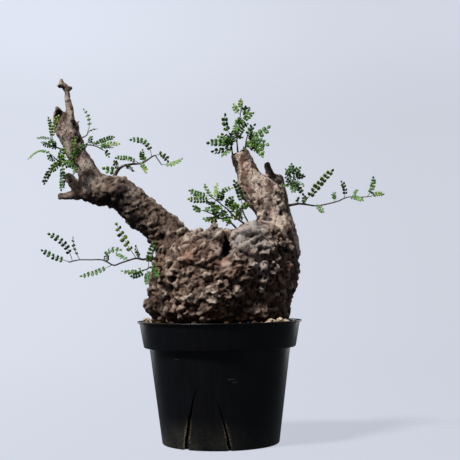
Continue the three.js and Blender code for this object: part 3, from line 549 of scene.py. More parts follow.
def nearDeadWood(points):
    near = np.zeros(len(points))
    for line, first, last in deadWood:
        radii = np.linspace(first, last, len(line))
        away, _ = alongLimb(points, [(*place, radius) for place, radius in zip(line, radii)])
        near = np.maximum(near, 1 - step(1.25, 1.8, away))
    return near


def bareTrunk():
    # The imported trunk, joined and smoothed until only its broad shape is left
    bm = bmesh.new()
    bm.from_mesh(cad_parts["trunk"].data)
    bmesh.ops.remove_doubles(bm, verts=bm.verts, dist=0.01 * mm)
    obj = keepObject("bare_trunk", meshOf(bm, "bare_trunk"))
    cutNotches(obj, notches["broad"])
    voxelSkin(obj, bark["baseVoxel"])
    points = pointsOf(obj.data)
    share = 0.5 * (1 - nearDeadWood(points))
    movePoints(obj.data, relaxed(points, edgesOf(obj.data), bark["baseRounds"], share))
    cutNotches(obj, notches["fine"])
    return obj


def atDepth(px, py, depth):
    # The point at a given depth y that a pixel of the photograph shows, in mm
    start, ray = throughPixel(px, py)
    return (start + ray * ((depth * mm - start.y) / ray.y)) / mm


def cutNotches(obj, outlines):
    # Each notch is a prism along the line of sight, so its edges lie on the outline in the photographed view
    for corners, front, back in outlines:
        bm = bmesh.new()
        near = [bm.verts.new(atDepth(*corner, front) * mm) for corner in corners]
        prism = bmesh.ops.extrude_face_region(bm, geom=[bm.faces.new(near)])["geom"]
        far = [v for v in prism if isinstance(v, bmesh.types.BMVert)]
        eye = Vector(view["place"]) * mm
        for v in far:
            v.co = eye + (v.co - eye) * ((back * mm - eye.y) / (front * mm - eye.y))
        bmesh.ops.recalc_face_normals(bm, faces=bm.faces)
        cutter = keepObject("notch_cutter", meshOf(bm, "notch_cutter"))
        cut = obj.modifiers.new("cut", "BOOLEAN")
        cut.operation = "DIFFERENCE"
        cut.object = cutter
        applyModifiers(obj)
        bpy.data.objects.remove(cutter)


def onBark(tree, spot):
    # Where a pixel's line of sight meets the bark, and the bark's direction there
    place, normal, _, _ = tree.ray_cast(*throughPixel(*spot[:2]))
    return (place / mm, normal) if place else (None, None)


def nearSpots(points, tree, spots):
    # The strongest of the spots' strengths at each point, fading with distance
    strength = np.zeros(len(points))
    for spot in spots:
        place, _ = onBark(tree, spot)
        if place:
            away = np.linalg.norm(points - np.array(place), axis=1) / spot[2]
            strength = np.maximum(strength, spot[3] * np.exp(-away ** 2))
    return strength


def addForms(mesh):
    tree = BVHTree.FromPolygons([v.co for v in mesh.vertices], [p.vertices for p in mesh.polygons])
    points, normals = pointsOf(mesh), normalsOf(mesh)
    for spot in frontForms:
        place, normal = onBark(tree, spot)
        if place:
            away = np.linalg.norm(points - np.array(place), axis=1) / spot[2]
            points = points + np.array(normal) * (spot[3] * np.exp(-away ** 2))[:, None]
    movePoints(mesh, points)


def addFrontKnobs(trunk):
    tree = BVHTree.FromPolygons([v.co for v in trunk.data.vertices], [p.vertices for p in trunk.data.polygons])
    bm = bmesh.new()
    for px, py, halfLong, halfWide, tilt, out in frontKnobs:
        place, normal = onBark(tree, (px, py))
        if place:
            side = Vector((math.cos(math.radians(tilt)), 0, math.sin(math.radians(tilt))))
            across = normal.cross(side).normalized()
            side = across.cross(normal).normalized()
            depth = 0.9 * halfWide
            shape = Matrix((side * halfLong, across * halfWide, normal * depth)).transposed().to_4x4()
            matrix = Matrix.Translation((place + normal * depth * out) * mm) @ shape @ Matrix.Scale(mm, 4)
            bmesh.ops.create_icosphere(bm, subdivisions=3, radius=1, matrix=matrix)
    bm.from_mesh(trunk.data)
    rods = [([atDepth(*point[:3]) for point in line], [point[3] for point in line]) for line in woodDetails]
    bm.from_mesh(rodMesh("dead_wood", rods, 3))
    trunk.data = meshOf(bm, "trunk_forms")


def knobHeight(place, size):
    # A knob's height at a place, from 0 in the furrow to 1 on its crown, and a number that is the knob's own
    (first, second, _, _), (centre, *_) = noise.voronoi(place / size)
    own = 0.5 + 0.5 * noise.cell(centre * 13.7)
    edge = 1 - math.exp(-(second - first) / 0.1)
    height = edge * (0.5 + 0.5 * max(0, 1 - 1.6 * first * first))
    if own < bark["pitShare"]:
        height -= 0.5 * math.exp(-(first / 0.2) ** 2)
    return height * (0.55 + 0.45 * own), own


def warped(place, q):
    return q + noise.noise_vector(place / 9) * bark["warp"] + noise.noise_vector(place / 3.2) * bark["smallWarp"]


def squeezedPoints(points):
    # The points, squeezed or stretched along the limb that they are on
    names, part, direction = partsOfTrunk(points)
    squeeze = np.array([barkZones[name]["squeeze"] for name in names])[part]
    along = (points * direction).sum(axis=1) * (squeeze - 1)
    return points + direction * along[:, None]


def raiseKnobs(mesh, spotTree):
    points, edges = pointsOf(mesh), edgesOf(mesh)
    names, part, _ = partsOfTrunk(points)
    smooth = 1 - nearSpots(points, spotTree, smoothSpots)
    alive = 1 - 0.8 * nearDeadWood(points)
    zone = np.array([[barkZones[name]["large"], barkZones[name]["small"]] for name in names])[part]
    zone = relaxed(zone * (smooth * alive)[:, None], edges, 12)
    lift = np.empty(len(points))
    for i, (place, q, (large, small)) in enumerate(zip(points, squeezedPoints(points), zone)):
        place = Vector(place)
        q = warped(place, Vector(q))
        big, own = knobHeight(q, bark["largeCell"])
        little, _ = knobHeight(q, bark["smallCell"])
        wrinkle = 1 - min(1, 3 * abs(noise.noise(q / bark["wrinkle"])))
        little = 0.5 * little + 0.5 * wrinkle
        lift[i] = large * (big - 0.46) + small * (little - 0.42)
        lift[i] += min(1, 0.3 * large) * bark["lumpHeight"] * noise.noise(place / bark["lumpSize"])
        lift[i] += bark["grainHeight"] * noise.fractal(place / bark["grainSize"], 0.9, 2.1, 3)
    buried = points[:, 2] < bark["buriedTo"]
    lift[buried] = 0
    movePoints(mesh, points + normalsOf(mesh) * lift[:, None])


def digPits(mesh, tree):
    points = pointsOf(mesh)
    for px, py, radius, depth in frontPits:
        place, normal = onBark(tree, (px, py))
        if place:
            away = np.linalg.norm(points - np.array(place), axis=1) / radius
            points = points - np.array(normal) * (depth * np.exp(-away ** 4))[:, None]
    movePoints(mesh, points)


def keepBarkAttributes(mesh, spotTree):
    points, edges, normals = pointsOf(mesh), edgesOf(mesh), normalsOf(mesh)
    near = relaxed(points, edges, 6)
    wide = relaxed(near, edges, 60)
    keepAttribute(mesh, "relief", ((points - near) * normals).sum(axis=1))
    keepAttribute(mesh, "height", ((points - wide) * normals).sum(axis=1))
    tone = [
        knobHeight(warped(Vector(place), Vector(q)), bark["largeCell"])[1]
        for place, q in zip(points, squeezedPoints(points))
    ]
    tone = relaxed(np.array(tone)[:, None], edges, 2)[:, 0]
    keepAttribute(mesh, "tone", tone)
    behind = step(-14, 16, points[:, 1])
    spotLists = {"red": redSpots, "pale": paleSpots, "dark": darkStainAndShadowSpots, "grey": greySpots}
    for index, (name, spots) in enumerate(spotLists.items()):
        least, strength = backPatches[name]
        shift = Vector((31 * index, 17, 5))
        wild = np.array([noise.noise(Vector(place) / 13 + shift) for place in points])
        patches = behind * strength * step(least, least + 0.4, wild)
        keepAttribute(mesh, name, np.maximum(nearSpots(points, spotTree, spots), patches))
    # Downward-facing bark: painted shade, partly the darker bark underneath
    keepAttribute(mesh, "under", step(0.15, 0.8, -relaxed(normals, edges, 6)[:, 2]))
    names, part, _ = partsOfTrunk(points)
    shade = np.array([barkZones[name]["shade"] for name in names])[part]
    keepAttribute(mesh, "shade", relaxed(shade[:, None], edges, 20)[:, 0])
    smoothBark = np.isin(part, [names.index(name) for name in ("leader", "rightArm", "rightFork")]).astype(float)
    keepAttribute(mesh, "smoothBark", relaxed(smoothBark[:, None], edges, 12)[:, 0])


def makeTrunk():
    trunk = bareTrunk()
    addForms(trunk.data)
    addFrontKnobs(trunk)
    spotTree = BVHTree.FromPolygons([v.co for v in trunk.data.vertices], [p.vertices for p in trunk.data.polygons])
    voxelSkin(trunk, bark["formVoxel"])
    print("trunk's forms", len(trunk.data.polygons))
    raiseKnobs(trunk.data, spotTree)
    digPits(trunk.data, spotTree)
    voxelSkin(trunk, bark["skinVoxel"])
    trunk.name = "trunk_bark"
    triangles = 2 * len(trunk.data.polygons)
    print("trunk's skin", triangles, "triangles")
    thin = trunk.modifiers.new("thin", "DECIMATE")
    thin.ratio = min(1, bark["mostTriangles"] / triangles)
    applyModifiers(trunk)
    trunk.data.name = "trunk_bark"
    keepBarkAttributes(trunk.data, spotTree)
    smoothShaded(trunk.data)
    trunk.data.materials.append(barkMaterial())
    finishPiece(trunk, "bark", "trunk")


def patchOf(tree, name, ragged, low, high):
    # A colour spot's share, with an edge broken up by a pattern
    broken = compute(tree, "MULTIPLY", compute(tree, "SUBTRACT", ragged, 0.5), 1.1)
    return spread(tree, compute(tree, "ADD", attribute(tree, name), broken), low, high)


def barkMaterial():
    material, tree, surface = newMaterial("bark")
    place = objectPlace(tree)
    relief = attribute(tree, "relief")
    height = attribute(tree, "height")
    tone = attribute(tree, "tone")
    patches = grain(tree, place, 60, 3)
    fine = grain(tree, place, 520, 5, 0.65)
    ragged = grain(tree, place, 230, 4, 0.65)
    brown = mix(tree, patches, screen(92, 73, 62), screen(132, 108, 93))
    tan = mix(tree, tone, screen(138, 115, 99), screen(194, 175, 158))
    # Paler knob crowns: partly weathered bark, partly a painted highlight where light falls on the crowns
    wearAndPaintedLight = compute(tree, "ADD", spread(tree, height, -0.4, 2.2), compute(tree, "MULTIPLY", fine, 0.5))
    colour = mix(tree, spread(tree, wearAndPaintedLight, 0.3, 1.2), brown, tan)
    # The right arm and the leader have smoother, paler, pinkish bark in long patches
    patchy = spread(tree, grain(tree, objectPlace(tree, (1, 1, 0.45)), 95, 4, 0.6), 0.41, 0.56)
    young = mix(tree, patchy, screen(112, 88, 76), screen(248, 224, 206))
    stains = spread(tree, grain(tree, objectPlace(tree, (1, 1, 0.4)), 210, 4, 0.65), 0.56, 0.63)
    young = mix(tree, compute(tree, "MULTIPLY", stains, 0.88), young, screen(60, 43, 36))
    colour = mix(tree, compute(tree, "MULTIPLY", attribute(tree, "smoothBark"), 0.8), colour, young)
    grey = mix(tree, fine, screen(136, 128, 121), screen(220, 211, 203))
    colour = mix(tree, compute(tree, "MULTIPLY", attribute(tree, "grey"), 0.9), colour, grey)
    reddish = spread(tree, grain(tree, place, 34, 2), 0.58, 0.72)
    reddish = compute(tree, "MAXIMUM", compute(tree, "MULTIPLY", reddish, 0.35), attribute(tree, "red"))
    colour = mix(tree, compute(tree, "MULTIPLY", reddish, 0.64), colour, screen(160, 108, 84))
    colour = mix(tree, attribute(tree, "shade"), colour, screen(46, 36, 33))
    colour = mix(tree, compute(tree, "MULTIPLY", patchOf(tree, "pale", ragged, 0.3, 0.9), 0.6), colour,
                 screen(214, 198, 180))
    _, _, above = addNode(tree, "ShaderNodeSeparateXYZ", Vector=place).outputs
    # Painted shade: the bark darkens towards the soil line, under the caudex's overhanging bulges
    baseShade = spread(tree, above, bark["buriedTo"] * mm, bark["baseShadeTo"] * mm, 0.56, 0.0)
    colour = mix(tree, baseShade, colour, screen(46, 36, 33))
    # Dark patches: real stains, and painted shadow where the spots lie in shade
    stainAndShadow = patchOf(tree, "dark", ragged, 0.34, 0.78)
    colour = mix(tree, compute(tree, "MULTIPLY", stainAndShadow, 0.95), colour, screen(36, 27, 26))
    # Undersides painted darker: painted shade, with some darker bark
    colour = mix(tree, compute(tree, "MULTIPLY", attribute(tree, "under"), 0.7), colour, screen(40, 29, 24))
    blotch = spread(tree, grain(tree, place, 170, 4, 0.7), 0.55, 0.66)
    blotch = compute(tree, "MULTIPLY", blotch, spread(tree, attribute(tree, "grey"), 0.0, 0.8, 0.66, 0.3))
    colour = mix(tree, blotch, colour, screen(48, 35, 29))
    specks = spread(tree, grain(tree, place, 460, 3, 0.6), 0.56, 0.66)
    colour = mix(tree, compute(tree, "MULTIPLY", specks, 0.6), colour, screen(40, 28, 23))
    # Painted shade: the furrows between the knobs and the fine cracks are darkened towards near black
    creviceShade = spread(tree, height, -2.3, -0.1, 1.0, 0.0)
    crackShade = spread(tree, relief, -0.36, -0.02, 1.0, 0.0)
    dark = compute(tree, "MAXIMUM", creviceShade, compute(tree, "MULTIPLY", crackShade, 0.8))
    colour = mix(tree, compute(tree, "MULTIPLY", dark, 0.96), colour, screen(22, 15, 12))
    tree.links.new(colour, surface.inputs["Base Color"])
    surface.inputs["Roughness"].default_value = 0.85
    surface.inputs["Specular IOR Level"].default_value = 0.25
    tree.links.new(bumped(tree, fine, 0.8, 0.0009), surface.inputs["Normal"])
    return material


makeTrunk()


# The pot: a thin black shell with a collar and a turned-out lip, two splits at its foot and drain holes

pot = {
    "height": 111, "wall": 1.4, "floor": 2,
    "lipRadius": 75, "lipHeight": 1.8,
    "collarTop": 73.1, "collarFoot": 69.2, "collarFootHeight": 87,
    "bodyTop": 64.2, "foot": 53.2,
    "segments": 160,
    "collarRound": 1.3, "edgeRound": 0.5,
    "holes": 6, "holeRadius": 4.5, "holeRing": 34,
    # Each split: x at its foot, x and height at its top, width at the foot, sideways bow, how far back it goes (y)
    "splits": [(-30.4, -20, 58, 3.9, -1.8, -37), (7.8, -4.5, 47, 2.8, 1.6, -49)],
    # Light scuffs on the front: x and height, half length and half height
    "scuffs": [(-37.5, 79.5, 2.4, 0.5), (9, 62.5, 5.5, 0.7), (12.5, 60, 4.0, 0.6), (-49, 29.5, 0.7, 0.6)],
}


def potProfile():
    wall, slope = pot["wall"], (pot["bodyTop"] - pot["foot"]) / pot["collarFootHeight"]
    lipFoot = pot["height"] - pot["lipHeight"]
    outer = [
        (0, 0), (pot["foot"], 0), (pot["bodyTop"], pot["collarFootHeight"]),
        (pot["collarFoot"], pot["collarFootHeight"]), (pot["collarTop"], lipFoot), (pot["lipRadius"], lipFoot + 0.4),
        (pot["lipRadius"], pot["height"]),
    ]
    inner = [
        (pot["collarTop"] - wall, pot["height"]), (pot["collarFoot"] - wall, pot["collarFootHeight"] + wall),
        (pot["bodyTop"] - wall, pot["collarFootHeight"]), (pot["foot"] - wall + slope * pot["floor"], pot["floor"]),
        (0, pot["floor"]),
    ]
    return outer + inner


def ringEdges(bm, radius, height):
    def onRing(v):
        return abs(v.co.xy.length - radius * mm) < 0.02 * mm and abs(v.co.z - height * mm) < 0.02 * mm
    return [e for e in bm.edges if onRing(e.verts[0]) and onRing(e.verts[1])]


def splitCutter(footX, topX, topZ, width, bow, innerY):
    # A thin curved wedge through the front wall, narrowing to nothing at its top
    bm = bmesh.new()
    bmesh.ops.create_cube(bm, size=1)
    bmesh.ops.subdivide_edges(bm, edges=[e for e in bm.edges if abs(e.verts[0].co.z - e.verts[1].co.z) > 0.5],
                              cuts=9, use_grid_fill=True)
    for v in bm.verts:
        share = v.co.z + 0.5
        x = footX + (topX - footX) * share + bow * 4 * share * (1 - share) + 0.35 * math.sin(share * 23)
        half = (width * (1 - share) ** 0.8 + 0.05) * v.co.x
        y = innerY + (pot["foot"] + 14 + innerY) * (v.co.y - 0.5)
        v.co = Vector((x + half, y, -2 + (topZ + 2) * share)) * mm
    return keepObject("split_cutter", meshOf(bm, "split_cutter"))


def makePot():
    bm = bmesh.new()
    verts = [bm.verts.new((r * mm, 0, z * mm)) for r, z in potProfile()]
    edges = [bm.edges.new(pair) for pair in zip(verts, verts[1:])]
    bmesh.ops.spin(bm, geom=verts + edges, cent=(0, 0, 0), axis=(0, 0, 1), angle=2 * math.pi,
                   steps=pot["segments"], use_merge=True)
    bmesh.ops.remove_doubles(bm, verts=bm.verts, dist=0.001 * mm)
    bmesh.ops.recalc_face_normals(bm, faces=bm.faces)
    rounds = [(pot["foot"], 0, 1.5), (pot["collarFoot"], pot["collarFootHeight"], pot["collarRound"]),
              (pot["lipRadius"], pot["height"], pot["edgeRound"]),
              (pot["lipRadius"], pot["height"] - pot["lipHeight"] + 0.4, pot["edgeRound"]),
              (pot["collarTop"] - pot["wall"], pot["height"], pot["edgeRound"])]
    for radius, height, offset in rounds:
        bmesh.ops.bevel(bm, geom=ringEdges(bm, radius, height), offset=offset * mm, segments=4,
                        affect="EDGES", profile=0.5, material=-1)
    shell = keepObject("pot_shell", meshOf(bm, "pot_shell"))
    cutters = [splitCutter(*split) for split in pot["splits"]]
    for i in range(pot["holes"]):
        angle = 2 * math.pi * i / pot["holes"]
        bm = bmesh.new()
        middle = Vector((pot["holeRing"] * math.cos(angle), pot["holeRing"] * math.sin(angle), 1)) * mm
        bmesh.ops.create_cone(bm, cap_ends=True, segments=32, radius1=pot["holeRadius"] * mm,
                              radius2=pot["holeRadius"] * mm, depth=8 * mm, matrix=Matrix.Translation(middle))
        cutters.append(keepObject("hole_cutter", meshOf(bm, "hole_cutter")))
    for cutter in cutters:
        cut = shell.modifiers.new("cut", "BOOLEAN")
        cut.operation = "DIFFERENCE"
        cut.object = cutter
        cut.solver = "EXACT"
    applyModifiers(shell)
    for cutter in cutters:
        bpy.data.objects.remove(cutter)
    smoothShaded(shell.data)
    shell.data.set_sharp_from_angle(angle=math.radians(32))
    shell.data.materials.append(plasticMaterial())
    finishPiece(shell, "pot_plastic", "pot")


def besideSplit(tree, sideways, height, split):
    # 1 beside a split's edges, fading out over two millimetres, and 0 above its foot
    footX, topX, topZ, width, bow, _ = split
    share = compute(tree, "DIVIDE", height, topZ * mm)
    bend = compute(tree, "ADD", compute(tree, "MULTIPLY", share, -4 * bow * mm), (topX - footX + 4 * bow) * mm)
    line = compute(tree, "ADD", compute(tree, "MULTIPLY", share, bend), footX * mm)
    away = compute(tree, "ABSOLUTE", compute(tree, "SUBTRACT", sideways, line))
    edge = spread(tree, away, 0.5 * width * mm, (0.5 * width + 1.4) * mm, 1.0, 0.0)
    return compute(tree, "MULTIPLY", edge, spread(tree, height, 0.012, 0.03, 1.0, 0.0))


def nearScuff(tree, place, x, z, halfLong, halfHigh):
    centre = (x * mm, -pot["foot"] * mm, z * mm)
    reach = (halfLong * mm, pot["foot"] * mm, halfHigh * mm)
    off = addNode(tree, "ShaderNodeVectorMath", {"operation": "SUBTRACT"}, i0=place, i1=centre).outputs[0]
    off = addNode(tree, "ShaderNodeVectorMath", {"operation": "DIVIDE"}, i0=off, i1=reach).outputs[0]
    away = addNode(tree, "ShaderNodeVectorMath", {"operation": "LENGTH"}, i0=off).outputs["Value"]
    return spread(tree, away, 0.4, 1.0, 1.0, 0.0)


def plasticMaterial():
    material, tree, surface = newMaterial("pot_plastic")
    place = objectPlace(tree)
    sideways, depth, height = addNode(tree, "ShaderNodeSeparateXYZ", Vector=place).outputs
    streaks = grain(tree, objectPlace(tree, (1, 1, 0.08)), 240, 4, 0.6)
    speckle = grain(tree, place, 900, 3, 0.7)
    cloud = grain(tree, place, 42, 4, 0.6)
    dustAndPaintedLight = compute(tree, "MULTIPLY", spread(tree, height, 0.0, 0.03, 1.0, 0.0), spread(tree, cloud, 0.2, 0.7))
    dustAndPaintedLight = compute(tree, "MULTIPLY", dustAndPaintedLight, spread(tree, speckle, 0.3, 0.62))
    # Painted light: real dust near the foot, full on the lit left of the pot and halved on the shaded right
    dustAndPaintedLight = compute(tree, "MULTIPLY", dustAndPaintedLight, spread(tree, sideways, -0.05, 0.03, 1.0, 0.5))
    marks = grain(tree, objectPlace(tree, (1, 1, 2.6)), 190, 3, 0.75)
    scuff = compute(tree, "MULTIPLY", spread(tree, marks, 0.7, 0.76), spread(tree, cloud, 0.42, 0.6))
    plain = mix(tree, spread(tree, streaks, 0.3, 0.7), screen(8, 8, 10), screen(13, 13, 17))
    dustedAndLit = mix(tree, compute(tree, "MULTIPLY", dustAndPaintedLight, 0.6), plain, screen(96, 95, 80))
    wearAndPaintedLight = mix(tree, compute(tree, "MULTIPLY", scuff, 0.4), dustedAndLit, screen(120, 117, 112))
    for mark in pot["scuffs"]:
        rubbed = compute(tree, "MULTIPLY", nearScuff(tree, place, *mark), spread(tree, speckle, 0.4, 0.6))
        wearAndPaintedLight = mix(tree, compute(tree, "MULTIPLY", rubbed, 0.5), wearAndPaintedLight, screen(104, 106, 106))
    front = spread(tree, depth, -0.03, 0.0, 1.0, 0.0)
    # Pale edges along the splits: dust, and a painted highlight where the edges catch the light
    for split in pot["splits"]:
        edge = compute(tree, "MULTIPLY", besideSplit(tree, sideways, height, split), spread(tree, speckle, 0.4, 0.56))
        wearAndPaintedLight = mix(tree, compute(tree, "MULTIPLY", edge, front), wearAndPaintedLight, screen(112, 103, 84))
    tree.links.new(wearAndPaintedLight, surface.inputs["Base Color"])
    rough = compute(tree, "ADD", spread(tree, streaks, 0.25, 0.75, 0.31, 0.36), compute(tree, "MULTIPLY", dustAndPaintedLight, 0.4))
    tree.links.new(rough, surface.inputs["Roughness"])
    surface.inputs["Specular IOR Level"].default_value = 0.38
    tree.links.new(bumped(tree, compute(tree, "ADD", streaks, speckle), 0.06, 0.0003), surface.inputs["Normal"])
    return material


makePot()


# The soil: a bed under loose granules of baked clay, with heaps of pale pumice by the rim

soil = {
    "top": 108.4, "ring": (40, 71),
    "granules": 1500, "size": (1.1, 2.3),
    "heapStones": 34, "heapSize": (1.1, 2.0),
    # Pale heaps: x, y, spread, height
    "heaps": [(-63, -28, 5, 5.6), (-66.5, -17, 4, 5.0), (45, -50, 6, 4.4), (53, -42, 4.5, 4.6), (58, -35, 3.5, 3.6)],
    "seed": 5,
}


def stoneShapes():
    # A few lumpy stones of unit size, to scatter
    shapes = []
    for i in range(5):
        bm = bmesh.new()
        bmesh.ops.create_icosphere(bm, subdivisions=1 if i < 4 else 2, radius=1)
        for v in bm.verts:
            v.co *= 1 + 0.34 * noise.noise(v.co * 1.3 + Vector((i * 7.1, 0, 0)))
            v.co.z *= 0.8
        shapes.append(meshOf(bm, "stone_shape"))
    return shapes


def dropStone(bm, shape, place, size, spin, tone, layer):
    before = len(bm.verts)
    bm.from_mesh(shape)
    bm.verts.ensure_lookup_table()
    added = bm.verts[before:]
    turn = Matrix.Rotation(spin[0], 4, "X") @ Matrix.Rotation(spin[1], 4, "Y") @ Matrix.Rotation(spin[2], 4, "Z")
    bmesh.ops.transform(bm, matrix=Matrix.Translation(place * mm) @ turn @ Matrix.Scale(size * mm, 4), verts=added)
    for v in added:
        v[layer] = tone


def makeSoil():
    pick = random.Random(soil["seed"])
    bm = bmesh.new()
    bm.from_mesh(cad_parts["soil"].data)
    bmesh.ops.remove_doubles(bm, verts=bm.verts, dist=0.01 * mm)
    packed = meshOf(bm, "soil_bed")
    bm = bmesh.new()
    layer = bm.verts.layers.float.new("tone")
    bm.from_mesh(packed)
    for v in bm.verts:
        v[layer] = 0.2
    trunk = bpy.data.objects["trunk_bark"].data
    wood = BVHTree.FromPolygons([v.co for v in trunk.vertices], [p.vertices for p in trunk.polygons])
    shapes = stoneShapes()

    def insideWood(place, room):
        near, normal, _, away = wood.find_nearest(place * mm)
        return (place * mm - near).dot(normal) < room * mm

    def spins():
        return [pick.uniform(0, 2 * math.pi) for _ in range(3)]

    for i in range(soil["granules"]):
        angle = pick.uniform(0, 2 * math.pi)
        radius = math.sqrt(pick.uniform(soil["ring"][0] ** 2, soil["ring"][1] ** 2))
        size = pick.uniform(*soil["size"])
        if radius + size > soil["ring"][1] + 0.6:
            continue
        rise = 1.4 * noise.noise(Vector((radius * math.cos(angle), radius * math.sin(angle), 0)) / 9)
        place = Vector((radius * math.cos(angle), radius * math.sin(angle), soil["top"] + rise - 0.2))
        if not insideWood(place, -0.4):
            dropStone(bm, pick.choice(shapes[:4]), place, size, spins(), pick.uniform(0.1, 0.6), layer)
    for x, y, spreadOut, height in soil["heaps"]:
        for i in range(soil["heapStones"]):
            dx, dy = pick.gauss(0, spreadOut / 2), pick.gauss(0, spreadOut / 2)
            lift = height * math.exp(-(dx * dx + dy * dy) / spreadOut ** 2 * 1.6)
            size = pick.uniform(*soil["heapSize"])
            place = Vector((x + dx, y + dy, soil["top"] + lift))
            if place.xy.length + size < soil["ring"][1] + 0.4 and not insideWood(place, 0):
                dropStone(bm, pick.choice(shapes), place, size, spins(), pick.uniform(0.75, 1.0), layer)
    bed = keepObject("soil_granules", meshOf(bm, "soil_granules"))
    bed.data.materials.append(soilMaterial())
    finishPiece(bed, "soil", "soil")


def soilMaterial():
    material, tree, surface = newMaterial("soil")
    place = objectPlace(tree)
    tone = attribute(tree, "tone")
    pores = grain(tree, place, 1400, 4, 0.7)
    brown = mix(tree, spread(tree, tone, 0.1, 0.6), screen(58, 42, 32), screen(150, 112, 76))
    colour = mix(tree, spread(tree, tone, 0.62, 0.8), brown, screen(214, 196, 166))
    colour = mix(tree, spread(tree, pores, 0.35, 0.6, 0.45, 0.0), colour, screen(40, 28, 20))
    height = addNode(tree, "ShaderNodeSeparateXYZ", Vector=place).outputs[2]
    # Painted shade: the soil is darkened lower down inside the pot, where it shows through the splits
    colour = mix(tree, spread(tree, height, 0.085, 0.1, 1.0, 0.0), colour, screen(24, 18, 15))
    tree.links.new(colour, surface.inputs["Base Color"])
    surface.inputs["Roughness"].default_value = 0.95
    surface.inputs["Specular IOR Level"].default_value = 0.15
    tree.links.new(bumped(tree, pores, 0.7, 0.0005), surface.inputs["Normal"])
    return material


makeSoil()


# The leafy shoots. Each has a woody twig whose first point is inside the bark, its radius at both ends, and its
# leaves: place along the twig, tip, bow in the picture plane, turn of the blade, pairs of leaflets, leaflet length

